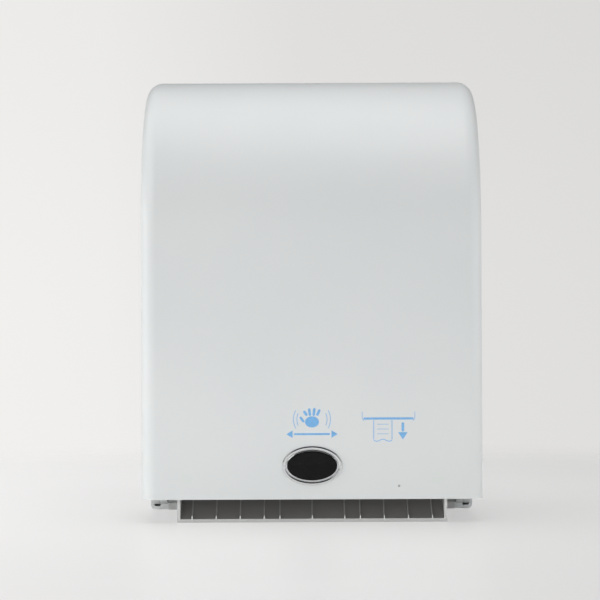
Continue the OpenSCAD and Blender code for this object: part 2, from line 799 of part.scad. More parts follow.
// Flanged bushes of the drive shaft
module drive_bushes() {
  color(bronze_shade) both_sides() difference() {
    union() {
      rod_x(drive_y, drive_z, shaft_r + 3, plate_in, plate_out);
      rod_x(drive_y, drive_z, shaft_r + 5, plate_in - 1.2, plate_in);
    }
    rod_x(drive_y, drive_z, shaft_r + running_gap, plate_in - 2, plate_out + 1);
  }
}

module drive_shaft() {
  color(steel_shade) rod_x(drive_y, drive_z, shaft_r, inner_gear_x - gear_w - 0.6, plate_out + 2);
}

// Rubber sleeves on the drive shaft
module drive_sleeves() {
  color(rubber_shade) for (x = [-1, 0, 1]) difference() {
    rod_x(drive_y, drive_z, sleeve_r, x * sleeve_pitch - sleeve_len / 2, x * sleeve_pitch + sleeve_len / 2);
    rod_x(drive_y, drive_z, shaft_r, -plate_out, plate_out);
    for (s = [-1, 1]) translate([x * sleeve_pitch + s * sleeve_len / 4 - 0.8, drive_y, drive_z])
      rotate([0, 90, 0]) difference() {
        cylinder(r = sleeve_r + 1, h = 1.6, $fn = 48);
        translate([0, 0, -1]) cylinder(r = sleeve_r - 0.8, h = 4, $fn = 48);
      }
  }
}

// Involute point at a radius, starting from the base circle
function involute(rb, r) = let (t = sqrt(pow(r / rb, 2) - 1), a = t * 180 / PI - atan(t))
  [r * cos(a), r * sin(a)];
function turned(p, a) = [p[0] * cos(a) - p[1] * sin(a), p[0] * sin(a) + p[1] * cos(a)];

// Spur gear outline with involute flanks at 20 degrees pressure angle
module gear_outline(teeth) {
  rp = gear_m * teeth / 2;
  rb = rp * cos(20);
  ra = rp + 0.95 * gear_m;
  rf = rp - 1.2 * gear_m;
  r0 = max(rb, rf);
  t = sqrt(pow(rp / rb, 2) - 1);
  at_pitch = t * 180 / PI - atan(t);
  half = 90 / teeth - backlash / 2 / rp * 180 / PI + at_pitch;
  n = 4;
  polygon([for (k = [0:teeth - 1]) let (a = 360 * k / teeth)
    each concat([turned([rf, 0], a - half)],
      [for (i = [0:n]) turned(involute(rb, r0 + (ra - r0) * i / n), a - half)],
      [for (i = [n:-1:0]) let (p = involute(rb, r0 + (ra - r0) * i / n)) turned([p[0], -p[1]], a + half)],
      [turned([rf, 0], a + half)])]);
}

// A gear on an axis along X, turned by an angle, from x1 back to x0
module gear_on(y, z, teeth, x0, x1, turn) {
  translate([x0, y, z]) rotate([90, 0, 90]) linear_extrude(x1 - x0) rotate(turn) gear_outline(teeth);
}

// Large gear with lightening holes and a hub
module drive_gear() {
  x1 = inner_gear_x;
  x0 = x1 - gear_w;
  color(gear_shade) difference() {
    gear_on(drive_y, drive_z, big_teeth, x0, x1, 10);
    rod_x(drive_y, drive_z, shaft_r, x0 - 1, x1 + 1);
    lightening_holes(drive_y, drive_z, x0 - 1, x1 + 1);
  }
}

module lightening_holes(y, z, x0, x1) {
  for (a = [0:60:300])
    rod_x(y + pitch_big * 0.58 * cos(a), z + pitch_big * 0.58 * sin(a), pitch_big * 0.17, x0, x1);
}

// Double gear: its small teeth drive the drive gear, its large teeth take the motor pinion
module idler_gear() {
  small_turn = 190 + 180 / small_teeth;
  color(gear_shade) difference() {
    union() {
      gear_on(idler_y, idler_z, small_teeth, outer_gear_x - 0.01, inner_gear_x, small_turn);
      gear_on(idler_y, idler_z, big_teeth, outer_gear_x - gear_w, outer_gear_x, -20);
    }
    rod_x(idler_y, idler_z, idler_r + running_gap, outer_gear_x - gear_w - 1, inner_gear_x + 1);
    lightening_holes(idler_y, idler_z, outer_gear_x - gear_w - 1, outer_gear_x - 0.5);
  }
}

module idler_axle() {
  color(steel_shade) union() {
    rod_x(idler_y, idler_z, idler_r, outer_gear_x - gear_w - 3.2, -plate_in - 0.01);
    rod_x(idler_y, idler_z, idler_r + 2, inner_gear_x + 0.3, -plate_out);
  }
}

// Clip on the end of the idler's axle
module axle_clip() {
  x0 = outer_gear_x - gear_w - 1.2;
  color(steel_shade) difference() {
    rod_x(idler_y, idler_z, idler_r + 2.5, x0, x0 + 0.9);
    rod_x(idler_y, idler_z, idler_r, x0 - 1, x0 + 2);
    block([x0 - 1, idler_y - 1.5, idler_z], [x0 + 2, idler_y + 1.5, idler_z + 8]);
  }
}

// Motor can with its nose through the left side plate and a rear cap
module motor() {
  x1 = -plate_in;
  color(steel_shade) difference() {
    union() {
      rod_x(motor_y, motor_z, motor_r, x1, x1 + motor_len);
      rod_x(motor_y, motor_z, motor_r - 3, x1 + motor_len - 0.01, x1 + motor_len + 3);
      rod_x(motor_y, motor_z, 5.9, -plate_out - 0.5, x1 + 0.01);
      for (s = [-1, 1]) block([x1 + motor_len - 1, motor_y + s * 6 - 0.4, motor_z - 1.5],
        [x1 + motor_len + 7, motor_y + s * 6 + 0.4, motor_z + 1.5]);
    }
    rod_x(motor_y, motor_z, rotor_r + running_gap, -plate_out - 1, x1 + 12);
    for (s = [-1, 1]) rod_x(motor_y, motor_z + s * 9, 1.5, x1 - 1, x1 + 5);
  }
}

module motor_shaft() {
  color(steel_shade) rod_x(motor_y, motor_z, rotor_r, outer_gear_x - gear_w - 0.6, -plate_in + 11);
}

module motor_pinion() {
  color(brass_shade) difference() {
    gear_on(motor_y, motor_z, small_teeth, outer_gear_x - gear_w, outer_gear_x, 160 + 180 / small_teeth);
    rod_x(motor_y, motor_z, rotor_r, outer_gear_x - gear_w - 1, outer_gear_x + 1);
  }
}

module motor_screws() {
  color(steel_shade) for (s = [-1, 1]) {
    rod_x(motor_y, motor_z + s * 9, 1.5, -plate_out - 0.01, -plate_in + 4.5);
    rod_x(motor_y, motor_z + s * 9, 2.6, -plate_out - 1.6, -plate_out);
  }
}

// Outline of a pinch carrier arm
module carrier_arm() {
  hull() {
    translate([carrier_y, carrier_z]) circle(r = carrier_r, $fn = 32);
    translate([pinch_y, drive_z]) circle(r = carrier_r, $fn = 32);
  }
}

// Carrier that swings forward on two pivots and presses the pinch rollers on
module pinch_carrier() {
  color(dark_shade) difference() {
    union() {
      both_sides() along_x(carrier_half - carrier_t, carrier_half) carrier_arm();
      both_sides() rod_x(carrier_y, carrier_z, pivot_r, carrier_half - 0.01, plate_out - 0.1);
      block([0.01 - carrier_half, carrier_y - 4, carrier_z - 3],
        [carrier_half - 0.01, carrier_y + 1, carrier_z + 2]);
    }
    both_sides() rod_x(pinch_y, drive_z, pinch_shaft_r + running_gap, carrier_half - carrier_t - 1,
      carrier_half + 1);
  }
}

module pinch_shaft() {
  color(steel_shade) rod_x(pinch_y, drive_z, pinch_shaft_r, -carrier_half - 1.2, carrier_half + 1.2);
}

module pinch_rollers() {
  color(rubber_shade) for (x = [-1, 0, 1]) difference() {
    rod_x(pinch_y, drive_z, pinch_r, x * sleeve_pitch - sleeve_len / 2, x * sleeve_pitch + sleeve_len / 2);
    rod_x(pinch_y, drive_z, pinch_shaft_r, -plate_out, plate_out);
  }
}

// Torsion springs round the carrier's pivots
module pinch_springs() {
  color(steel_shade) both_sides() translate([carrier_half + 0.8, carrier_y, carrier_z]) rotate([0, 90, 0])
    coil(pivot_r + 0.7, 0.3, plate_in - carrier_half - 1.6, 1.5, pivot_r + 0.7);
}

// Control board with its chips, behind the hood's upper half
module control_board() {
  top = button_z + board_over;
  rear = board_y + board_t;
  color(board_shade) union() {
    block([-board_half, board_y, button_z - board_under], [board_half, rear, top]);
    both_sides() block([board_half - board_foot, hood_back, button_z + 4], [board_half, board_y + 0.01, top]);
    block([chip_x, rear - 0.01, button_z - 6], [chip_x + chip_w, rear + chip_t, button_z - 6 + chip_h]);
    block([driver_x, rear - 0.01, button_z - 5],
      [driver_x + driver_w, rear + driver_t, button_z - 5 + driver_h]);
    for (x = selector_x) block([x - 6, board_y - 1.2, button_z - 3], [x + 6, board_y + 0.01, button_z + 3]);
    block([button_x - 3, board_y - 0.4, button_z - 3], [button_x + 3, board_y + 0.01, button_z + 3]);
    block([board_half - 6, board_y, boss_z - 5], [board_half, rear, button_z - board_under + 1]);
  }
}

// Sensor board with its emitter and receiver domes
module sensor_board() {
  color(board_shade) union() {
    block([-29, board_y, sensor_z - 19], [29, board_y + board_t, sensor_z + 15]);
    for (x = [-11, 11]) {
      rod_y(x, sensor_z, 4.2, hood_y + 1, board_y + 0.01);
      translate([x, hood_y + 1, sensor_z]) sphere(r = 3.6, $fn = 32);
    }
    for (x = [-25, 25]) block([x - 3, hood_back, sensor_z - 19], [x + 3, board_y + 0.01, sensor_z - 14]);
  }
}

// Push button with a collar behind the hood
module feed_button() {
  color(button_shade) union() {
    rod_y(button_x, button_z, button_r, hood_y - 1.4, hood_back + 0.2);
    rod_y(button_x, button_z, button_r + 1.2, hood_back + 0.1, hood_back + 1.1);
    rod_y(button_x, button_z, 1.6, hood_back + 1, board_y - button_stroke - 0.5);
  }
}

// Slide knob of a selector
module selector(x) {
  color(dark_shade) union() {
    block([x - slider_w / 2, hood_y - 1.4, button_z - 2], [x + slider_w / 2, board_y - 1.5, button_z + 2]);
    for (s = [-1.4, 0, 1.4])
      block([x + s - 0.3, hood_y - 1.9, button_z - 2], [x + s + 0.3, hood_y - 1.39, button_z + 2]);
  }
}

module length_selector() {
  selector(selector_x[0]);
}

module delay_selector() {
  selector(selector_x[1]);
}

// Battery box with two lanes, a divider and the door's pin lugs
module battery_box() {
  color(frame_shade) difference() {
    union() {
      difference() {
        block([-box_half, box_y0, house_wall], [box_half, box_y1, box_top]);
        for (y = cell_rows) block([-box_half + box_wall, y - lane / 2, house_wall + box_wall],
          [box_half - box_wall, y + lane / 2, box_top + 1]);
      }
      for (s = [-1, 0, 1]) battery_lug(s * lug_pitch);
    }
    rod_x(door_pin_y, door_pin_z, door_pin_r, -box_half, box_half);
  }
}

// Lug on the rear wall of the box for the door's pin
module battery_lug(x) {
  block([x - 4, box_y1 - 1.8, box_top - 1], [x + 4, box_y1, door_pin_z + 2.6]);
  block([x - 4, door_pin_y - 2.6, door_pin_z - 2.6], [x + 4, box_y1 - 1.7, door_pin_z + 2.6]);
}

// Hinged battery door with a finger notch
module battery_door() {
  low = box_top + 0.2;
  rear = door_pin_y - door_setback;
  color(dark_shade) difference() {
    union() {
      block([-box_half, box_y0, low], [box_half, rear, low + door_t]);
      both_sides() door_eye(rear, low);
      for (x = [-40:20:40])
        block([x - 1, box_y0 + 10, low + door_t - 0.01], [x + 1, rear - 8, low + door_t + 0.8]);
    }
    rod_x(door_pin_y, door_pin_z, door_pin_r + running_gap, -box_half, box_half);
    rod_z(0, box_y0 - 4, 11, low - 1, low + 4);
  }
}

// Eye of the door between two lugs
module door_eye(rear, low) {
  x0 = lug_pitch / 2 - 12;
  x1 = lug_pitch / 2 + 12;
  rod_x(door_pin_y, door_pin_z, door_pin_r + 1.4, x0, x1);
  block([x0, rear - 0.5, low], [x1, door_pin_y, low + door_t]);
}

module battery_door_pin() {
  color(steel_shade) rod_x(door_pin_y, door_pin_z, door_pin_r, -lug_pitch - 4, lug_pitch + 4);
}

// Four cells, two in each lane
module battery_cells() {
  color(cell_shade) for (y = cell_rows, s = [-1, 1]) {
    x = s * (cell_len + 1) / 2 + 0.8;
    rod_x(y, cell_z, cell_r, x - cell_len / 2, x + cell_len / 2 - 1.6);
    rod_x(y, cell_z, 4.6, x + cell_len / 2 - 1.61, x + cell_len / 2);
  }
}

// A conical spring at the left end of each lane
module battery_springs() {
  x0 = -box_half + box_wall + 0.6;
  x1 = -(cell_len + 1) / 2 + 0.8 - cell_len / 2;
  color(steel_shade) for (y = cell_rows)
    translate([x0 + 0.45, y, cell_z]) rotate([0, 90, 0]) coil(9, 0.4, x1 - x0 - 0.9, 3, 4);
}

// Contact plates at both ends of the lanes
module battery_contacts() {
  left = -box_half + box_wall;
  right = box_half - box_wall;
  color(chrome_shade) for (y = cell_rows) {
    block([left, y - 11, cell_z - 11], [left + 0.6, y + 11, cell_z + 11]);
    block([right - 0.6, y - 11, cell_z - 11], [right, y + 11, cell_z + 11]);
    rod_x(y, cell_z, 5, cell_len + 1.3, right - 0.6);
  }
}

// A round lead swept along its route
module lead(route, r) {
  sides = 8;
  last = len(route) - 1;
  dirs = [for (i = [0:last]) let (d = route[min(i + 1, last)] - route[max(i - 1, 0)]) d / norm(d)];
  points = [for (i = [0:last]) let (d = dirs[i], u = side_of(d), v = cross(d, u))
    for (j = [0:sides - 1]) let (a = 360 * j / sides) route[i] + r * (u * cos(a) + v * sin(a))];
  skin = [for (i = [0:last - 1]) for (j = [0:sides - 1]) let (k = (j + 1) % sides)
    [(i + 1) * sides + j, (i + 1) * sides + k, i * sides + k, i * sides + j]];
  polyhedron(points, concat([[for (j = [0:sides - 1]) j]], skin,
    [[for (j = [0:sides - 1]) last * sides + sides - 1 - j]]));
}

// A steady sideways direction across a lead
function side_of(d) = let (s = cross([1, 0.7, 0.8], d)) s / norm(s);

// Route of a lead through its corners, each rounded by a quadratic curve
function smooth(corners, n = 5) = let (last = len(corners) - 1) concat([corners[0]],
  [for (i = [1:last - 1]) let (a = (corners[i - 1] + corners[i]) / 2, b = (corners[i] + corners[i + 1]) / 2)
    for (k = [0:n - 1]) curve_point(a, corners[i], b, k / n)],
  [(corners[last - 1] + corners[last]) / 2, corners[last]]);
function curve_point(a, c, b, t) = a * pow(1 - t, 2) + c * 2 * t * (1 - t) + b * pow(t, 2);

// Leads from the battery box, outside the right side plate and through it to the control board
module wiring() {
  start_y = box_y0 + 12;
  low_z = box_top - 18;
  color(lead_shade) for (s = [0, lead_gap])
    lead(smooth([[box_half, start_y - s, low_z - s], [lead_x, start_y - s, low_z - s],
      [lead_x, plate_rear + 4 - s, low_z - s],
      [lead_x, lead_y + 30 - s, low_z + 2 - s], [lead_x, lead_y - s, lead_z - 12 - s],
      [lead_x, lead_y - s, lead_z - s], [lead_end, lead_y - s, lead_z - s],
      [lead_end, board_y + board_t, lead_z - s]]), lead_r);
}

// Arm that carries one end of the roll, drawn for the right side
module roll_arm() {
  difference() {
    union() {
      along_x(arm_x0, arm_x1) polygon(concat(arc(roll_y, roll_z, 15, 90, 270, 16),
        [[arm_pin_y, arm_low], [arm_pin_y, arm_high]]));
      rod_z(arm_pin_x, arm_pin_y, knuckle_r - 0.5, arm_low, arm_high);
      along_x(arm_x1 - 0.01, arm_x1 + 2) polygon([[roll_y + 16, roll_z - 2], [arm_pin_y - 10, roll_z - 6],
        [arm_pin_y - 10, roll_z + 6], [roll_y + 16, roll_z + 2]]);
    }
    rod_z(arm_pin_x, arm_pin_y, arm_pin_r + running_gap, arm_low - 1, arm_high + 1);
    rod_x(roll_y, roll_z, 5 + running_gap, arm_x0 - 1, arm_x1 + 3);
    block([arm_x0 - 3, arm_pin_y - 8, roll_z - 5], [arm_x1 + 5, arm_pin_y + 8, roll_z + 5]);
  }
}

module roll_arm_left() {
  color(frame_shade) mirror([1, 0, 0]) roll_arm();
}

module roll_arm_right() {
  color(frame_shade) roll_arm();
}

module arm_pins() {
  color(steel_shade) both_sides() rod_z(arm_pin_x, arm_pin_y, arm_pin_r, arm_low - 10.3, arm_high + 11);
}

// Torsion spring in the arm's knuckle
module arm_spring() {
  color(steel_shade) translate([arm_pin_x, arm_pin_y, roll_z - 4.4]) coil(3.6, 0.4, 8.8, 5, 3.6);
}

module arm_spring_left() {
  mirror([1, 0, 0]) arm_spring();
}

module arm_spring_right() {
  arm_spring();
}

// Hub with a tapered nose for the roll's core and an axle through the arm
module roll_hub() {
  translate([core_x, roll_y, roll_z]) rotate([0, 90, 0]) rotate_extrude($fn = 96) polygon([
    [0, -hub_len], [hub_r - 5, -hub_len], [hub_r - 1.5, -hub_len + 3], [hub_r, -1], [hub_r, 0],
    [hub_r + 6, 0], [hub_r + 6, flange_t], [8, flange_t], [8, arm_x0 - core_x - side_gap],
    [5, arm_x0 - core_x - side_gap], [5, arm_x1 - core_x + 0.4], [6.6, arm_x1 - core_x + 0.4],
    [6, arm_x1 - core_x + 3], [0, arm_x1 - core_x + 3]]);
}

module roll_hub_left() {
  color(dark_shade) mirror([1, 0, 0]) roll_hub();
}

module roll_hub_right() {
  color(dark_shade) roll_hub();
}

rear_housing();
strike_plate();
front_cover();
hinge_pins();
lock_barrel();
lock_nut();
lock_cam();
sensor_bezel();
sensor_window();
indicator_lens();
lid_magnet();
base_tray();
tray_screws();
chute_guide();
side_plate_left();
side_plate_right();
front_hood();
rear_deck();
hood_posts();
hood_screws();
tear_bar();
tear_bar_screws();
drive_bushes();
drive_shaft();
drive_sleeves();
drive_gear();
idler_gear();
idler_axle();
axle_clip();
motor();
motor_shaft();
motor_pinion();
motor_screws();
pinch_carrier();
pinch_shaft();
pinch_rollers();
pinch_springs();
control_board();
sensor_board();
feed_button();
length_selector();
delay_selector();
battery_box();
battery_door();
battery_door_pin();
battery_cells();
battery_springs();
battery_contacts();
wiring();
roll_arm_left();
roll_arm_right();
arm_pins();
arm_spring_left();
arm_spring_right();
roll_hub_left();
roll_hub_right();
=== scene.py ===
import json
import math

import bmesh
import bpy
import numpy as np
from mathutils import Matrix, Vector

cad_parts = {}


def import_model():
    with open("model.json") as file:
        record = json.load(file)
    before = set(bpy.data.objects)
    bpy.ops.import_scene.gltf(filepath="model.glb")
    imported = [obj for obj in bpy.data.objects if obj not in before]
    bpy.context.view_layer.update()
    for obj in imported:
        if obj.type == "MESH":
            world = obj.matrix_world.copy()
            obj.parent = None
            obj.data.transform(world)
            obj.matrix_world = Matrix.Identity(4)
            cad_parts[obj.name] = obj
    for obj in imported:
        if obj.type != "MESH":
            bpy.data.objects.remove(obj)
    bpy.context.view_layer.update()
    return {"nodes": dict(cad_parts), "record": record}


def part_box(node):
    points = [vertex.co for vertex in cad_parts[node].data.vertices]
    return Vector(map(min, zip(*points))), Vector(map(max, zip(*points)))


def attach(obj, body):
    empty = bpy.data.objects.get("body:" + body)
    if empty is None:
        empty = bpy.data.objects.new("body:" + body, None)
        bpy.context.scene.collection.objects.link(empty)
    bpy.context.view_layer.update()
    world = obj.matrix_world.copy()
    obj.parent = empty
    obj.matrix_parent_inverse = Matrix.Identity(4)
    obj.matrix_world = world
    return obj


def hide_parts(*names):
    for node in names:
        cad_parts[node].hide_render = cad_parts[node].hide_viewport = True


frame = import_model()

nodes = frame["nodes"]
MM = 0.001

# Sizes of the object, in metres, taken from the frame where it gives them
cover_low, cover_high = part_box("front_cover")
pin_low, pin_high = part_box("hinge_pins")
bezel_low, bezel_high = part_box("sensor_bezel")
window_low, window_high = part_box("sensor_window")
lens_low, lens_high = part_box("indicator_lens")
barrel_low, barrel_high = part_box("lock_barrel")
magnet_low, magnet_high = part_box("lid_magnet")

# The cover: half its width, its front, the plane where it meets the housing, and its top
HALF_W = cover_high.x
FRONT_Y = cover_low.y
PART_Y = cover_high.y
TOP_Z = cover_high.z
COVER_D = PART_Y - FRONT_Y
# Where the straight front ends and the curved top starts
ARC_Z = TOP_Z - COVER_D
# Height of the cover's lower rim, its wall and its corner radius in plan
RISE = 20.5 * MM
WALL = 2.8 * MM
CORNER = 14 * MM

# The sensor's ring and window are ovals: half widths (A) and half heights (B)
SENSOR_Z = (bezel_low.z + bezel_high.z) / 2
BEZEL_A = (bezel_high.x - bezel_low.x) / 2
BEZEL_B = (bezel_high.z - bezel_low.z) / 2
WINDOW_A = (window_high.x - window_low.x) / 2
WINDOW_B = (window_high.z - window_low.z) / 2

HINGE_Y = (pin_low.y + pin_high.y) / 2
HINGE_Z = (pin_low.z + pin_high.z) / 2
HINGE_R = (pin_high.z - pin_low.z) / 2
EYE_R = 7 * MM
LOCK_Y = (barrel_low.y + barrel_high.y) / 2
LOCK_R = 8 * MM
LENS_X = (lens_low.x + lens_high.x) / 2
LENS_Z = (lens_low.z + lens_high.z) / 2
LENS_R = (lens_high.x - lens_low.x) / 2
BOSS_X = (magnet_low.x + magnet_high.x) / 2
BOSS_Z = (magnet_low.z + magnet_high.z) / 2
BOSS_R = 6 * MM

# The chute's ribs, in millimetres: places to each side of the middle, and half the width of their
# painted highlight
RIB_PLACES = (0, 28.5, 42.2, 63.3, 84.4, 105.5)
RIB_HALF = 0.7

# The record's slot of every node, and the body that carries it
SLOT_OF = {row["node"]: row["material_slot"] for row in frame["record"]["subparts"]}
BODIES = frame["record"]["behaviour"]["bodies"]
BODY_OF = {node: body for body, members in BODIES.items() for node in members}


# Materials


# Sockets of a colour mix, by number: three kinds of mix share each name
MIX_SHARE, MIX_A, MIX_B, MIX_RESULT = 0, 6, 7, 2


def grey(value):
    """A neutral colour."""
    return (value, value, value)


def fill_ramp(band, stops):
    """Sets the stops of a colour ramp, which starts with two of its own."""
    first, last = band.elements
    first.position, first.color = stops[0][0], (*stops[0][1], 1)
    last.position, last.color = stops[-1][0], (*stops[-1][1], 1)
    for place, colour in stops[1:-1]:
        band.elements.new(place).color = (*colour, 1)


class Tree:
    """An emptied node tree, with short calls that add and link nodes."""

    def __init__(self, owner):
        owner.use_nodes = True
        self.tree = owner.node_tree
        self.tree.nodes.clear()

    def add(self, kind, **settings):
        """A node; each setting is one of its properties or one of its sockets."""
        made = self.tree.nodes.new(kind)
        for key, value in settings.items():
            if hasattr(made, key):
                setattr(made, key, value)
            else:
                made.inputs[key.replace("_", " ")].default_value = value
        return made

    def link(self, source, output, target, socket):
        """Links two sockets, each given by its name or its number."""
        self.tree.links.new(source.outputs[output], target.inputs[socket])

    def ramp(self, source, output, stops):
        """A colour ramp; stops are (place, colour)."""
        made = self.add("ShaderNodeValToRGB")
        fill_ramp(made.color_ramp, stops)
        self.link(source, output, made, "Fac")
        return made

    def span(self, source, output, low, high, to_low=0.0, to_high=1.0):
        """Maps a value from one range to another."""
        made = self.add("ShaderNodeMapRange")
        ends = {"From Min": low, "From Max": high, "To Min": to_low, "To Max": to_high}
        for socket, value in ends.items():
            made.inputs[socket].default_value = value
        self.link(source, output, made, "Value")
        return made

    def mix(self, source, output, one, two):
        """A mix of two shaders by a share."""
        made = self.add("ShaderNodeMixShader")
        self.link(source, output, made, 0)
        self.link(one, 0, made, 1)
        self.link(two, 0, made, 2)
        return made


class Shader(Tree):
    """A material under construction: a principled shader whose sockets take noises."""

    def __init__(self, name):
        self.material = bpy.data.materials.new(name)
        super().__init__(self.material)
        self.bsdf = self.add("ShaderNodeBsdfPrincipled")
        self.out = self.add("ShaderNodeOutputMaterial")
        self.link(self.bsdf, "BSDF", self.out, "Surface")
        self.place = self.add("ShaderNodeTexCoord")

    def noise(self, scale, detail=2.0, rough=0.5, stretch=(1, 1, 1)):
        """Fractal noise in the object's own coordinates, as a value round 0.5."""
        spread = self.add("ShaderNodeMapping")
        spread.inputs["Scale"].default_value = stretch
        self.link(self.place, "Object", spread, "Vector")
        made = self.add("ShaderNodeTexNoise", Scale=scale, Detail=detail, Roughness=rough)
        self.link(spread, "Vector", made, "Vector")
        return made

    def bump(self, source, strength, distance):
        """Raises the surface by a noise."""
        made = self.add("ShaderNodeBump", Strength=strength, Distance=distance)
        self.link(source, "Fac", made, "Height")
        self.link(made, "Normal", self.bsdf, "Normal")

    def vary_colour(self, colour, noise, amount):
        """Base colour that drifts a little with a noise."""
        low = [c * (1 - amount) for c in colour]
        high = [min(1, c * (1 + amount)) for c in colour]
        made = self.ramp(noise, "Fac", [(0.3, low), (0.7, high)])
        self.link(made, "Color", self.bsdf, "Base Color")

    def vary_roughness(self, noise, low, high):
        """Roughness that drifts between two values."""
        made = self.span(noise, "Fac", 0.3, 0.7, low, high)
        self.link(made, "Result", self.bsdf, "Roughness")

    def set(self, **values):
        """Sets sockets of the shader itself."""
        for key, value in values.items():
            self.bsdf.inputs[key.replace("_", " ")].default_value = value


def moulded(name, colour, gloss=(0.35, 0.45), grain=1800, depth=0.02, drift=0.015):
    """Moulded plastic: slow drift of colour, uneven gloss and a fine spark-eroded grain."""
    made = Shader(name)
    slow = made.noise(14, 3)
    fine = made.noise(grain, 2)
    made.vary_colour(colour, slow, drift)
    made.vary_roughness(made.noise(55, 4), *gloss)
    made.bump(fine, 0.35, depth * MM)
    return made.material


def metal(name, colour, gloss=(0.29, 0.42), stretch=(1, 1, 1), scale=900, depth=0.01):
    """Bright metal with drawn or turned marks along one direction."""
    made = Shader(name)
    marks = made.noise(scale, 4, 0.6, stretch)
    made.vary_colour(colour, marks, 0.06)
    made.vary_roughness(made.noise(scale / 3, 3, 0.5, stretch), *gloss)
    made.bump(marks, 0.3, depth * MM)
    made.set(Metallic=1.0)
    return made.material


def boss_weight(made):
    """Share of the tint over the bosses behind the wall, one to each side of the middle."""
    apart = made.add("ShaderNodeSeparateXYZ")
    made.link(made.place, "Object", apart, "Vector")
    side = made.add("ShaderNodeMath", operation="ABSOLUTE")
    made.link(apart, "X", side, 0)
    there = made.add("ShaderNodeCombineXYZ")
    made.link(side, "Value", there, "X")
    made.link(apart, "Z", there, "Z")
    gap = made.add("ShaderNodeVectorMath", operation="DISTANCE")
    gap.inputs[1].default_value = (BOSS_X, 0, BOSS_Z)
    made.link(there, "Vector", gap, 0)
    full_within, gone_beyond, strength = 5 * MM, 9 * MM, 0.35
    spot = made.span(gap, "Value", full_within, gone_beyond, 1.0, 0.0)
    weight = made.add("ShaderNodeMath", operation="MULTIPLY")
    weight.inputs[1].default_value = strength
    made.link(spot, "Result", weight, 0)
    return weight


def shell_material():
    """Pale satin plastic of the cover: soft cloudiness, and faint rounds over the bosses."""
    cool, warm = (0.655, 0.682, 0.684), (0.690, 0.706, 0.706)
    boss_tint = (0.66, 0.70, 0.66, 1)
    made = Shader("shell_plastic")
    tone = made.ramp(made.noise(7, 2), "Fac", [(0.25, cool), (0.75, warm)])
    tinted = made.add("ShaderNodeMix", data_type="RGBA")
    tinted.inputs[MIX_B].default_value = boss_tint
    made.link(boss_weight(made), "Value", tinted, MIX_SHARE)
    made.link(tone, "Color", tinted, MIX_A)
    made.link(tinted, MIX_RESULT, made.bsdf, "Base Color")
    made.vary_roughness(made.noise(30, 4), 0.285, 0.32)
    made.bump(made.noise(5, 1), 0.25, 0.5 * MM)
    made.set(Coat_Weight=0.25, Coat_Roughness=0.12)
    return made.material


def print_material():
    """Light-blue pad-printed ink with a slightly uneven film."""
    made = Shader("print_ink")
    film = made.noise(700, 3)
    made.vary_colour((0.185, 0.43, 0.74), film, 0.10)
    made.vary_roughness(film, 0.4, 0.55)
    return made.material


def window_material():
    """Dark infrared-clear plastic with a wet gloss."""
    made = Shader("sensor_window")
    made.vary_colour(grey(0.0045), made.noise(90, 2), 0.3)
    made.vary_roughness(made.noise(160, 2), 0.05, 0.09)
    made.set(Specular_IOR_Level=0.18)
    return made.material


def chrome_material():
    """Chrome plate on plastic, with the faint ripple of plated mouldings."""
    made = Shader("chrome_plate")
    made.vary_colour((0.86, 0.87, 0.88), made.noise(300, 2), 0.02)
    made.vary_roughness(made.noise(500, 3), 0.05, 0.10)
    made.bump(made.noise(160, 1), 0.05, 0.05 * MM)
    made.set(Metallic=1.0)
    return made.material


def board_material():
    """Green lacquered board with the relief of its tracks."""
    ground, track, edge = (0.015, 0.13, 0.06), (0.03, 0.22, 0.10), (0.02, 0.15, 0.07)
    made = Shader("circuit_board")
    tracks = made.noise(420, 2, 0.5, (1, 1, 3))
    tone = made.ramp(tracks, "Fac", [(0.42, ground), (0.5, track), (0.58, edge)])
    made.link(tone, "Color", made.bsdf, "Base Color")
    made.vary_roughness(tracks, 0.29, 0.42)
    made.bump(tracks, 0.3, 0.05 * MM)
    return made.material


def cell_material():
    """Plain dark sleeve of a cell."""
    made = Shader("cell_sleeve")
    made.vary_colour((0.06, 0.065, 0.08), made.noise(120, 2), 0.15)
    made.vary_roughness(made.noise(200, 2), 0.29, 0.38)
    made.set(Metallic=0.3)
    return made.material


# Each material's roughness keeps wholly above 0.28 or wholly below 0.27, where renders stay even
SHELL = shell_material()
INK = print_material()
WINDOW = window_material()
CHROME = chrome_material()
FRAME = moulded("frame_plastic", (0.62, 0.63, 0.62), (0.38, 0.5))
CHARCOAL = moulded("charcoal_plastic", (0.20, 0.195, 0.188), (0.42, 0.55), 1300, 0.04, 0.06)
# Lighter plastic laid on the chute's ribs: a painted highlight where light catches them
RIB_HIGHLIGHT = moulded("painted_rib_highlight", (0.32, 0.314, 0.302), (0.4, 0.5), 1300, 0.04, 0.06)
STEEL = metal("zinc_steel", (0.62, 0.63, 0.65))
DRAWN = metal("drawn_steel", (0.60, 0.61, 0.63), (0.18, 0.26), (0.03, 1, 1), 1600)
BRONZE = metal("sintered_bronze", (0.50, 0.34, 0.17), (0.4, 0.55), (1, 1, 1), 2500, 0.02)
BRASS = metal("turned_brass", (0.72, 0.55, 0.26), (0.18, 0.26), (8, 1, 1), 700)
RUBBER = moulded("black_rubber", (0.028, 0.028, 0.030), (0.7, 0.85), 2600, 0.06, 0.12)
CLOUDED = moulded("clouded_lens", (0.34, 0.35, 0.35), (0.14, 0.22), 900, 0.01, 0.04)
ACETAL = moulded("acetal", (0.78, 0.77, 0.71), (0.35, 0.45), 1500, 0.015, 0.03)
BLUE = moulded("blue_plastic", (0.09, 0.27, 0.55), (0.3, 0.4), 1500, 0.015, 0.05)
LEAD = moulded("lead_cover", (0.36, 0.035, 0.03), (0.45, 0.55), 1800, 0.02, 0.08)
BOARD = board_material()
SLEEVE = cell_material()

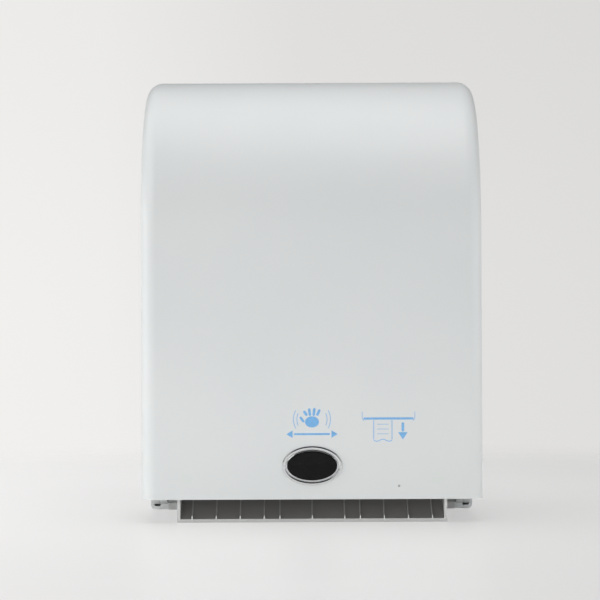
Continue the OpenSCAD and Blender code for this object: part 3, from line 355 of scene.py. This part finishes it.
MATERIAL_OF = {
    "shell": SHELL, "frame": FRAME, "charcoal": CHARCOAL, "chrome": CHROME, "window": WINDOW,
    "steel": STEEL, "rubber": RUBBER, "bronze": BRONZE, "gear": ACETAL, "brass": BRASS,
    "board": BOARD, "button": BLUE, "cell": SLEEVE, "lead": LEAD,
}
# Nodes whose material isn't the usual one of their slot
SPECIAL = dict.fromkeys(("drive_shaft", "pinch_shaft", "motor_shaft", "idler_axle", "hinge_pins",
                         "battery_door_pin"), DRAWN)
SPECIAL["indicator_lens"] = CLOUDED


def dress(obj, material):
    """Gives an object one material in its only slot."""
    obj.data.materials.clear()
    obj.data.materials.append(material)


def corner_groups(mesh):
    """Groups of face corners that share a point in space, and the face that owns each corner."""
    steps_per_metre = 1e6
    places = np.empty(len(mesh.vertices) * 3, np.float64)
    mesh.vertices.foreach_get("co", places)
    keys = np.round(places.reshape(-1, 3) * steps_per_metre).astype(np.int64)
    _, spot = np.unique(keys, axis=0, return_inverse=True)
    corner = np.empty(len(mesh.loops), np.int64)
    mesh.loops.foreach_get("vertex_index", corner)
    at = spot.reshape(-1)[corner]
    order = np.argsort(at, kind="stable")
    breaks = np.flatnonzero(np.diff(at[order])) + 1
    owner = np.repeat(np.arange(len(mesh.polygons)), [face.loop_total for face in mesh.polygons])
    return np.split(order, breaks), owner


def smooth(obj, limit=32):
    """Shades smoothly where faces meet below the limit, by area, so that flat faces stay flat."""
    mesh = obj.data
    normals = np.empty(len(mesh.polygons) * 3)
    mesh.polygons.foreach_get("normal", normals)
    normals = normals.reshape(-1, 3)
    areas = np.empty(len(mesh.polygons))
    mesh.polygons.foreach_get("area", areas)
    made = np.empty((len(mesh.loops), 3))
    least = math.cos(math.radians(limit))
    groups, owner = corner_groups(mesh)
    for group in groups:
        faces = owner[group]
        facing = normals[faces]
        near = (facing @ facing.T) > least
        summed = near @ (facing * areas[faces][:, None])
        length = np.linalg.norm(summed, axis=1, keepdims=True)
        made[group] = summed / np.maximum(length, 1e-12)
    mesh.polygons.foreach_set("use_smooth", np.ones(len(mesh.polygons), bool))
    mesh.normals_split_custom_set(made.tolist())


def paint_rib_highlights(mesh):
    """The chute guide's ribs, on their faces not turned down, get a lighter plastic: a painted
    highlight where light catches them.
    """
    mesh.materials.append(RIB_HIGHLIGHT)
    for face in mesh.polygons:
        place = abs(face.center.x) / MM
        on_rib = any(abs(place - rib) < RIB_HALF for rib in RIB_PLACES)
        face.material_index = int(on_rib and face.normal.z > -0.2)


def dress_cad_nodes():
    """Every CAD node gets the material of its slot in the record, or its own."""
    for node, slot in SLOT_OF.items():
        dress(nodes[node], SPECIAL.get(node, MATERIAL_OF[slot]))
        smooth(nodes[node])
    paint_rib_highlights(nodes["chute_guide"].data)


# Mesh building


def placed(name, bm):
    """An object in the scene made from a bmesh, which is used up."""
    mesh = bpy.data.meshes.new(name)
    bm.to_mesh(mesh)
    bm.free()
    obj = bpy.data.objects.new(name, mesh)
    bpy.context.scene.collection.objects.link(obj)
    return obj


def new_piece(name, bm, material, body, replaces=()):
    """Turns a bmesh into a piece that rides on a body."""
    bmesh.ops.recalc_face_normals(bm, faces=bm.faces)
    obj = placed(name, bm)
    dress(obj, material)
    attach(obj, body)
    if replaces:
        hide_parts(*replaces)
    return obj


def shade(obj, limit):
    """Shades smoothly, but for edges where faces meet above the limit."""
    obj.data.polygons.foreach_set("use_smooth", [True] * len(obj.data.polygons))
    obj.data.set_sharp_from_angle(angle=math.radians(limit))


def arc(cx, cy, r, start, end, n):
    """Points along an arc, angles in degrees."""
    turns = (math.radians(start + (end - start) * i / n) for i in range(n + 1))
    return [(cx + r * math.cos(t), cy + r * math.sin(t)) for t in turns]


def full_turn(n):
    """Even angles all the way round."""
    return [2 * math.pi * i / n for i in range(n)]


def oval(cx, cy, a, b, n=96):
    """Points round an oval."""
    return [(cx + a * math.cos(t), cy + b * math.sin(t)) for t in full_turn(n)]


def disc(cx, cy, r, n):
    """Points round a circle."""
    return oval(cx, cy, r, r, n)


def box_outline(u0, v0, u1, v1):
    """The four corners of a rectangle."""
    return [(u0, v0), (u1, v0), (u1, v1), (u0, v1)]


def strip(bm, one, two):
    """Faces between two open rows of points."""
    for a, b, c, d in zip(one, one[1:], two[1:], two):
        bm.faces.new((a, b, c, d))


def band(bm, one, two):
    """Faces between two rings of points."""
    count = len(one)
    for i in range(count):
        k = (i + 1) % count
        bm.faces.new((one[i], two[i], two[k], one[k]))


def prism(outline, place, low, high):
    """A closed prism: place(u, v, w) puts an outline point (u, v) at depth w."""
    bm = bmesh.new()
    near, far = ([bm.verts.new(place(u, v, w)) for u, v in outline] for w in (low, high))
    bm.faces.new(near)
    bm.faces.new(far[::-1])
    band(bm, near, far)
    bmesh.ops.recalc_face_normals(bm, faces=bm.faces)
    return bm


def along_x(u, v, w):
    """A prism's point when the prism runs across."""
    return (w, u, v)


def along_y(u, v, w):
    """A prism's point when the prism runs front to back."""
    return (u, w, v)


def along_z(u, v, w):
    """A prism's point when the prism runs upwards."""
    return (u, v, w)


def mirrored(bm):
    """A copy of a bmesh, mirrored left to right."""
    twin = bm.copy()
    bmesh.ops.scale(twin, vec=(-1, 1, 1), verts=twin.verts)
    bmesh.ops.reverse_faces(twin, faces=twin.faces)
    return twin


def settle(obj):
    """Makes what an object's modifiers show into its own mesh."""
    graph = bpy.context.evaluated_depsgraph_get()
    made = bpy.data.meshes.new_from_object(obj.evaluated_get(graph))
    obj.modifiers.clear()
    obj.data = made


def boolean(obj, parts, operation):
    """Cuts or joins bmesh parts to an object, one after the other."""
    for part in parts:
        bmesh.ops.recalc_face_normals(part, faces=part.faces)
        tool = placed("tool", part)
        step = obj.modifiers.new("step", "BOOLEAN")
        step.operation, step.object, step.solver = operation, tool, "EXACT"
        settle(obj)
        bpy.data.objects.remove(tool)


def round_edges(obj, width, segments=3, limit=40):
    """Rounds every edge sharper than the limit, and keeps flat faces flat in the shading."""
    soft = obj.modifiers.new("soft", "BEVEL")
    soft.width, soft.segments = width, segments
    soft.limit_method, soft.angle_limit = "ANGLE", math.radians(limit)
    soft.use_clamp_overlap = True
    settle(obj)
    smooth(obj, 50)


# The front cover


def cover_plan(inset, steps=16):
    """The cover's outline in plan, drawn in by a wall: x, and depth from the parting plane."""
    r = CORNER - inset
    x, d = HALF_W - CORNER, COVER_D - CORNER
    right = [(HALF_W - inset, 0.0)] + arc(x, d, r, 0, 90, steps)
    left = arc(-x, d, r, 90, 180, steps) + [(-HALF_W + inset, 0.0)]
    return right + left


def cover_stations(rows=6, steps=40):
    """The sweep of the cover's section: its base height and its tilt."""
    straight = [(RISE + (ARC_Z - RISE) * i / rows, 0.0) for i in range(rows)]
    curved = [(ARC_Z, math.pi / 2 * i / steps) for i in range(steps + 1)]
    return straight + curved


def cover_skin(bm, inset):
    """Rows of points on the cover's outer face or, drawn in by its wall, on its inner face."""
    rows = []
    for z, tilt in cover_stations():
        rows.append([bm.verts.new((x, PART_Y - d * math.cos(tilt), z + d * math.sin(tilt)))
                     for x, d in cover_plan(inset)])
    return rows


def cover_shell():
    """Outer and inner skin of the cover, closed along the rim."""
    bm = bmesh.new()
    outer, inner = cover_skin(bm, 0.0), cover_skin(bm, WALL)
    for rows in (outer, inner):
        for low, high in zip(rows, rows[1:]):
            strip(bm, low, high)
    for i in range(len(outer[0]) - 1):
        for end in (0, -1):
            out, inn = outer[end], inner[end]
            bm.faces.new((out[i], out[i + 1], inn[i + 1], inn[i]))
    for side in (0, -1):
        strip(bm, [row[side] for row in outer], [row[side] for row in inner])
    bmesh.ops.remove_doubles(bm, verts=bm.verts, dist=1e-6)
    bmesh.ops.dissolve_degenerate(bm, edges=bm.edges, dist=1e-7)
    return bm


def hinge_ear():
    """Ear at the right lower corner, which the hinge pin goes through."""
    thick, reach, sunk = 6 * MM, 22 * MM, 0.05 * MM
    inner_x, top = HALF_W - WALL, RISE + reach
    eye = arc(HINGE_Y, HINGE_Z, EYE_R, 180, 360, 24)
    stem = eye + [(HINGE_Y + EYE_R, top), (HINGE_Y - EYE_R, top)]
    return prism(stem, along_x, inner_x - thick, inner_x + sunk)


def cover_inside():
    """Ears, side ribs and bosses on the cover's inner face."""
    inner_x, inner_y = HALF_W - WALL, FRONT_Y + WALL
    rib_front, rib_back = inner_y + 10 * MM, PART_Y - 12 * MM
    sunk, rib_tall, boss_tall = 0.2 * MM, 1 * MM, 2.2 * MM
    parts = [hinge_ear()]
    for z in (90 * MM, 150 * MM, 210 * MM):
        rib = box_outline(rib_front, z - MM, rib_back, z + MM)
        parts.append(prism(rib, along_x, inner_x - rib_tall, inner_x + sunk))
    boss = disc(BOSS_X, BOSS_Z, BOSS_R, 32)
    parts.append(prism(boss, along_y, inner_y - sunk, inner_y + boss_tall))
    return [piece for part in parts for piece in (part, mirrored(part))]


def cover_openings():
    """What is cut from the cover, for the sensor, indicator lens, hinge pins and lock."""
    past, ring_lap, pin_play, seat_rim = 5 * MM, 2 * MM, 0.05 * MM, 2.5 * MM
    front, back = FRONT_Y - past, FRONT_Y + 10 * MM
    ring = oval(0, SENSOR_Z, BEZEL_A - ring_lap, BEZEL_B - ring_lap)
    hole = disc(LENS_X, LENS_Z, LENS_R, 24)
    bore = disc(HINGE_Y, HINGE_Z, HINGE_R + pin_play, 40)
    lock = disc(0, LOCK_Y, LOCK_R, 48)
    seat = disc(0, LOCK_Y, LOCK_R + seat_rim, 64)
    return [
        prism(ring, along_y, front, back),
        prism(hole, along_y, front, back),
        prism(bore, along_x, -HALF_W - MM, HALF_W + MM),
        prism(lock, along_z, TOP_Z - 20 * MM, TOP_Z + past),
        prism(seat, along_z, barrel_high.z - 1.4 * MM, TOP_Z + past),
    ]


def front_cover():
    """The cover in one piece: shell, ears, ribs, bosses, the lock's collar and the openings."""
    obj = new_piece("cover_shell", cover_shell(), SHELL, "cover", ["front_cover"])
    collar_wall, collar_depth, soft_width = 4 * MM, 8 * MM, 0.6 * MM
    outline = disc(0, LOCK_Y, LOCK_R + collar_wall, 48)
    collar = prism(outline, along_z, TOP_Z - collar_depth, barrel_high.z)
    boolean(obj, cover_inside() + [collar], "UNION")
    boolean(obj, cover_openings(), "DIFFERENCE")
    round_edges(obj, soft_width)


# Other mouldings: copies of the CAD nodes with rounded edges


# Width of the rounding, in millimetres
SOFT_EDGES = {
    "rear_housing": 0.6, "base_tray": 0.3, "front_hood": 0.5, "rear_deck": 0.4,
    "battery_box": 0.4, "battery_door": 0.4, "roll_arm_left": 0.4, "roll_arm_right": 0.4,
    "side_plate_left": 0.25, "side_plate_right": 0.25, "strike_plate": 0.2, "pinch_carrier": 0.3,
    "lock_nut": 0.4, "lock_cam": 0.2, "feed_button": 0.3, "chute_guide": 0.2,
}


def soft_copy(node, width):
    """A copy of a CAD node whose sharp edges are rounded, which takes the node's place."""
    source = nodes[node].data
    flat = math.radians(0.5)
    bm = bmesh.new()
    bm.from_mesh(source)
    bmesh.ops.remove_doubles(bm, verts=bm.verts, dist=1e-6)
    bmesh.ops.dissolve_limit(bm, angle_limit=flat, verts=bm.verts, edges=bm.edges)
    material = source.materials[0]
    obj = new_piece(node + "_soft", bm, material, BODY_OF[node], [node])
    round_edges(obj, width * MM, 2)


# Sensor


# The collar round the window, from the valley in: distance from the ring's edge, and depth from
# the cover's front, in millimetres
COLLAR = ((3.5, -0.42), (3.6, -0.46), (4.55, -1.08), (4.65, -1.0))
# The window from its edge to its middle: share of its size, and depth in millimetres
WINDOW_FACE = ((1.0, -0.3), (0.985, -0.5), (0.96, -0.62), (0.92, -0.7),
               (0.8, -0.8), (0.6, -0.88), (0.35, -0.92), (0.12, -0.94))


def ring_section():
    """Section of the chrome ring: a round roll, a valley, a collar and a plain back."""
    rise = FRONT_Y - bezel_low.y
    half = 1.72 * MM
    turns = [math.radians(a) for a in range(0, 161, 8)]
    roll = [(half - half * math.cos(t), -rise * math.sin(t)) for t in turns]
    collar = [(inset * MM, depth * MM) for inset, depth in COLLAR]
    inner, step, deep, seat = 4.65 * MM, 2.1 * MM, WALL + 1.5 * MM, 0.02 * MM
    return roll + collar + [(inner, deep), (step, deep), (step, seat), (0.0, seat)]


def oval_point(bm, a, b, turn, depth):
    """A point on an oval round the sensor's middle, at a depth from the cover's front."""
    return bm.verts.new((a * math.cos(turn), FRONT_Y + depth, SENSOR_Z + b * math.sin(turn)))


def bezel_ring():
    """The chrome ring: its section swept round the oval."""
    bm = bmesh.new()
    section = ring_section()
    loops = [[oval_point(bm, BEZEL_A - inset, BEZEL_B - inset, turn, depth)
              for inset, depth in section] for turn in full_turn(128)]
    for one, two in zip(loops, loops[1:] + loops[:1]):
        band(bm, one, two)
    shade(new_piece("bezel_ring", bm, CHROME, "cover", ["sensor_bezel"]), 50)


def window_lens():
    """The dark window, whose face is a little crowned."""
    bm = bmesh.new()
    back = (0.999, WALL / MM + 1.1)
    rings = [[oval_point(bm, WINDOW_A * share, WINDOW_B * share, turn, depth * MM)
              for turn in full_turn(96)] for share, depth in (back, *WINDOW_FACE)]
    for one, two in zip(rings, rings[1:]):
        band(bm, one, two)
    bm.faces.new(rings[-1])
    bm.faces.new(rings[0][::-1])
    shade(new_piece("window_lens", bm, WINDOW, "cover", ["sensor_window"]), 40)


# Printed pictograms


PRINT_LIFT = 0.04 * MM
PRINT_SUNK = 0.01 * MM


def spot(cx, cz):
    """Gives a function that turns millimetres from one place of the front into a point (x, z)."""
    return lambda x, z: (cx + x * MM, cz + z * MM)


def slab(bm, outline):
    """A thin printed patch with an outline of points (x, z)."""
    front = [bm.verts.new((x, FRONT_Y - PRINT_LIFT, z)) for x, z in outline]
    back = [bm.verts.new((x, FRONT_Y + PRINT_SUNK, z)) for x, z in outline]
    count = len(outline)
    if count % 2 == 0 and count > 4:
        for i in range(count // 2 - 1):
            k = count - 1 - i
            bm.faces.new((front[i], front[i + 1], front[k - 1], front[k]))
            bm.faces.new((back[k], back[k - 1], back[i + 1], back[i]))
    else:
        bm.faces.new(front)
        bm.faces.new(back[::-1])
    band(bm, front, back)


def ribbon(bm, points, width):
    """A printed line of even width through points (x, z)."""
    points = [Vector(p) for p in points]
    left, right = [], []
    for i, p in enumerate(points):
        ahead = points[min(i + 1, len(points) - 1)] - points[max(i - 1, 0)]
        across = Vector((-ahead.y, ahead.x)).normalized() * width / 2
        left.append(p + across)
        right.append(p - across)
    slab(bm, left + right[::-1])


def pill(bm, start, end, width):
    """A printed bar with round ends."""
    start, end = Vector(start), Vector(end)
    turn = math.degrees(math.atan2(end.y - start.y, end.x - start.x))
    tail = arc(start.x, start.y, width / 2, turn + 90, turn + 270, 10)
    slab(bm, tail + arc(end.x, end.y, width / 2, turn - 90, turn + 90, 10))


def bent(points, n=8):
    """A smooth line through a few points, by Catmull-Rom."""
    points = [Vector(p) for p in points]
    ends = [points[0] * 2 - points[1]] + points + [points[-1] * 2 - points[-2]]
    made = []
    for a, b, c, d in zip(ends, ends[1:], ends[2:], ends[3:]):
        for i in range(n):
            t = i / n
            made.append(0.5 * ((2 * b) + (c - a) * t + (2 * a - 5 * b + 4 * c - d) * t * t
                               + (3 * b - a - 3 * c + d) * t ** 3))
    return made + [points[-1]]


def hand_print():
    """An open palm between arcs over a double arrow: a hand passed under the sensor."""
    bm = bmesh.new()
    at = spot(0.0, 90.5 * MM)
    # Fingers: place, lean and length; then thumb and palm
    for x, lean, tip in ((-4.9, -1.7, 6.6), (-1.7, -0.6, 8.6), (1.6, 0.5, 8.9), (4.8, 1.6, 7.6)):
        pill(bm, at(x, 4.2), at(x + lean, tip), 2.3 * MM)
    pill(bm, at(-7.6, -1.6), at(-9.8, 1.4), 2.1 * MM)
    slab(bm, oval(*at(0, -2.2), 6.1 * MM, 4.9 * MM, 40))
    for side in (0, 180):
        for r, spread in ((13.2, 24), (16.2, 29)):
            ribbon(bm, arc(*at(0, 0), r * MM, side - spread, side + spread, 20), 0.6 * MM)
    # Double arrow under the hand
    at = spot(0.0, 77.6 * MM)
    pill(bm, at(-15, 0), at(15, 0), 1.7 * MM)
    for side in (-1, 1):
        slab(bm, [at(side * 17, -3.3), at(side * 22.5, 0), at(side * 17, 3.3)])
    new_piece("print_hand", bm, INK, "cover")


def towel_print():
    """A sheet that hangs from a slot, with an arrow down beside it: a towel to take."""
    bm = bmesh.new()
    at = spot(67 * MM, 96 * MM)
    pill(bm, at(-21, -5), at(21, -5), 1.9 * MM)
    for side in (-1, 1):
        ribbon(bm, bent([at(side * 23, 1), at(side * 23, -4), at(side * 21.6, -7)]), 0.5 * MM)
    # The sheet: two edges, a waved hem and three lines
    left, right, low, wave = -13, 3, -24, 0.9
    for edge in (left, right):
        ribbon(bm, [at(edge, -6.4), at(edge, low + 0.6)], 0.7 * MM)
    shares = [i / 24 for i in range(25)]
    hem = [at(left + (right - left) * s, low - wave * math.sin(3 * math.pi * s)) for s in shares]
    ribbon(bm, hem, 0.7 * MM)
    for z in (-10, -14.2, -18.4):
        ribbon(bm, [at(left + 3, z), at(right - 3, z)], 0.45 * MM)
    # The arrow
    x = 12.5
    pill(bm, at(x, -9.5), at(x, -15.4), 2.3 * MM)
    slab(bm, [at(x - 4.2, -17), at(x, -23.5), at(x + 4.2, -17)])
    new_piece("print_towel", bm, INK, "cover")


# Stage, light and camera


# The floor, in metres: its radius, where its fading starts and ends, how far it is below the object
FLOOR_R, FADE_START, FADE_END, FLOOR_GAP = 1.6, 0.55, 1.05, 0.0002
# The floor's tone for the camera, from left to right, and the background's, across and upwards:
# painted light, brighter to the left and darker to the right and upwards
FLOOR_PAINTED_LIGHT = [(0.0, (0.96, 0.952, 0.948)), (0.5, (0.79, 0.785, 0.782)), (1.0, (0.69, 0.688, 0.684))]
BACK_PAINTED_SHADE_ACROSS = [(0.0, (0.885, 0.875, 0.860)), (0.18, (0.868, 0.860, 0.846)),
               (0.5, (0.778, 0.770, 0.760)), (1.0, (0.744, 0.738, 0.724))]
BACK_PAINTED_SHADE_UP = [(0.0, grey(1.0)), (0.5, grey(0.99)), (1.0, grey(0.955))]
# The sky that glossy faces show: pale up to a little above the horizon, dark over it
GLOSS_SKY = [(0.0, grey(0.75)), (0.5, grey(0.66)), (0.56, grey(0.60)), (0.63, grey(0.03))]
# Lamps: name, place, aim, size, power, colour, and whether glossy faces show it
LAMPS = (
    ("key", (-1.5, -1.5, 1.3), (0, 0, 0.2), (0.9, 1.4), 4, (1.0, 0.995, 0.985), True),
    ("fill", (1.7, -1.6, 0.9), (0, 0, 0.2), (0.8, 1.4), 2, (0.985, 0.995, 1.0), True),
    ("left", (-1.6, -0.1, 0.35), (0, 0, 0.15), (1.0, 0.6), 13.4, (1.0, 1.0, 0.99), False),
    ("right", (1.6, -0.1, 0.35), (0, 0, 0.15), (1.0, 0.6), 8.6, grey(1.0), False),
    ("low", (-0.2, -1.25, 0.03), (0, 0, 0.02), (1.2, 0.04), 6.2, grey(1.0), False),
    ("top", (-0.05, -0.03, 1.5), (0, 0, 0.3), (1.6, 0.8), 14.8, grey(1.0), False),
    ("back", (0.3, 1.9, 1.1), (0, 0, 0.2), (1.6, 1.0), 7, grey(1.0), False),
)


def glowing(made):
    """The floor's surface: for the camera, a glow takes up most of it and softens shadows; its
    colour is painted light, brighter to the left and darker to the right.
    """
    glow_strength, glow_share, half_width = 1.07, 0.6, 0.35
    apart = made.add("ShaderNodeSeparateXYZ")
    made.link(made.place, "Object", apart, "Vector")
    across = made.span(apart, "X", -half_width, half_width)
    glow = made.add("ShaderNodeEmission", Strength=glow_strength)
    made.link(made.ramp(across, "Result", FLOOR_PAINTED_LIGHT), "Color", glow, "Color")
    path = made.add("ShaderNodeLightPath")
    share = made.add("ShaderNodeMath", operation="MULTIPLY")
    share.inputs[1].default_value = glow_share
    made.link(path, "Is Camera Ray", share, 0)
    return made.mix(share, "Value", made.bsdf, glow)


def floor_material():
    """Pale floor that fades out at its edge."""
    made = Shader("pale_floor")
    made.vary_colour((0.78, 0.775, 0.767), made.noise(3, 2), 0.01)
    made.set(Roughness=0.32, Specular_IOR_Level=0.35)
    away = made.add("ShaderNodeVectorMath", operation="LENGTH")
    made.link(made.place, "Object", away, 0)
    fade = made.span(away, "Value", FADE_START, FADE_END)
    fade.interpolation_type = "SMOOTHSTEP"
    clear = made.add("ShaderNodeBsdfTransparent")
    made.link(made.mix(fade, "Result", glowing(made), clear), 0, made.out, "Surface")
    return made.material


def floor():
    """A pale round floor, just below the object's foot."""
    bm = bmesh.new()
    bmesh.ops.create_circle(bm, cap_ends=True, radius=FLOOR_R, segments=96)
    obj = placed("floor", bm)
    obj.location = (0, 0, -FLOOR_GAP)
    dress(obj, floor_material())


def sky_shade(sky, axis, low, high, stops):
    """A colour that runs along one direction of the sky."""
    way = sky.add("ShaderNodeTexCoord")
    apart = sky.add("ShaderNodeSeparateXYZ")
    sky.link(way, "Generated", apart, "Vector")
    return sky.ramp(sky.span(apart, axis, low, high), "Result", stops)


def background(sky):
    """What the camera sees behind the object: pale, with painted shade that darkens it to the right
    and a little upwards.
    """
    both = sky.add("ShaderNodeMix", data_type="RGBA", blend_type="MULTIPLY")
    both.inputs[MIX_SHARE].default_value = 1.0
    sky.link(sky_shade(sky, "X", -0.13, 0.13, BACK_PAINTED_SHADE_ACROSS), "Color", both, MIX_A)
    sky.link(sky_shade(sky, "Z", -0.10, 0.12, BACK_PAINTED_SHADE_UP), "Color", both, MIX_B)
    seen = sky.add("ShaderNodeBackground")
    sky.link(both, MIX_RESULT, seen, "Color")
    return seen


def world():
    """Even light from all round, a sky for gloss, and a pale background for the camera."""
    studio = bpy.data.worlds.new("studio")
    sky = Tree(studio)
    lit = sky.add("ShaderNodeBackground", Color=(1, 1, 1, 1), Strength=0.24)
    gloss = sky.add("ShaderNodeBackground")
    sky.link(sky_shade(sky, "Z", -1.0, 1.0, GLOSS_SKY), "Color", gloss, "Color")
    path = sky.add("ShaderNodeLightPath")
    mirror = sky.mix(path, "Is Glossy Ray", lit, gloss)
    view = sky.mix(path, "Is Camera Ray", mirror, background(sky))
    out = sky.add("ShaderNodeOutputWorld")
    sky.link(view, 0, out, "Surface")
    bpy.context.scene.world = studio


def lamp(name, place, aim, size, power, colour, in_gloss):
    """A soft rectangular lamp."""
    data = bpy.data.lights.new(name, "AREA")
    data.shape, data.size, data.size_y = "RECTANGLE", size[0], size[1]
    data.energy, data.color = power, colour
    obj = bpy.data.objects.new(name, data)
    obj.location = place
    obj.rotation_euler = (Vector(aim) - Vector(place)).to_track_quat("-Z", "Y").to_euler()
    obj.visible_glossy = in_gloss
    obj.visible_camera = False
    bpy.context.scene.collection.objects.link(obj)


def camera():
    """The photograph's view: level, a little left of the middle, about two metres away."""
    focal_px, frame_px, sensor_mm = 2320.0, 600.0, 36.0
    left, away, height, roll = -0.0100, 2.03, 0.195, 0.25
    data = bpy.data.cameras.new("camera")
    data.sensor_width = sensor_mm
    data.lens = focal_px / frame_px * sensor_mm
    data.clip_start, data.clip_end = 0.05, 30
    obj = bpy.data.objects.new("camera", data)
    obj.location = (left, FRONT_Y - away, height)
    obj.rotation_euler = (math.radians(90), math.radians(roll), 0)
    bpy.context.scene.collection.objects.link(obj)
    bpy.context.scene.camera = obj


dress_cad_nodes()
for soft_node, edge_width in SOFT_EDGES.items():
    soft_copy(soft_node, edge_width)
# The same painted highlight on the ribs of the rounded chute guide
paint_rib_highlights(bpy.data.objects["chute_guide_soft"].data)
front_cover()
bezel_ring()
window_lens()
hand_print()
towel_print()
floor()
world()
for row in LAMPS:
    lamp(*row)
camera()
bpy.context.scene.view_settings.view_transform = "Standard"
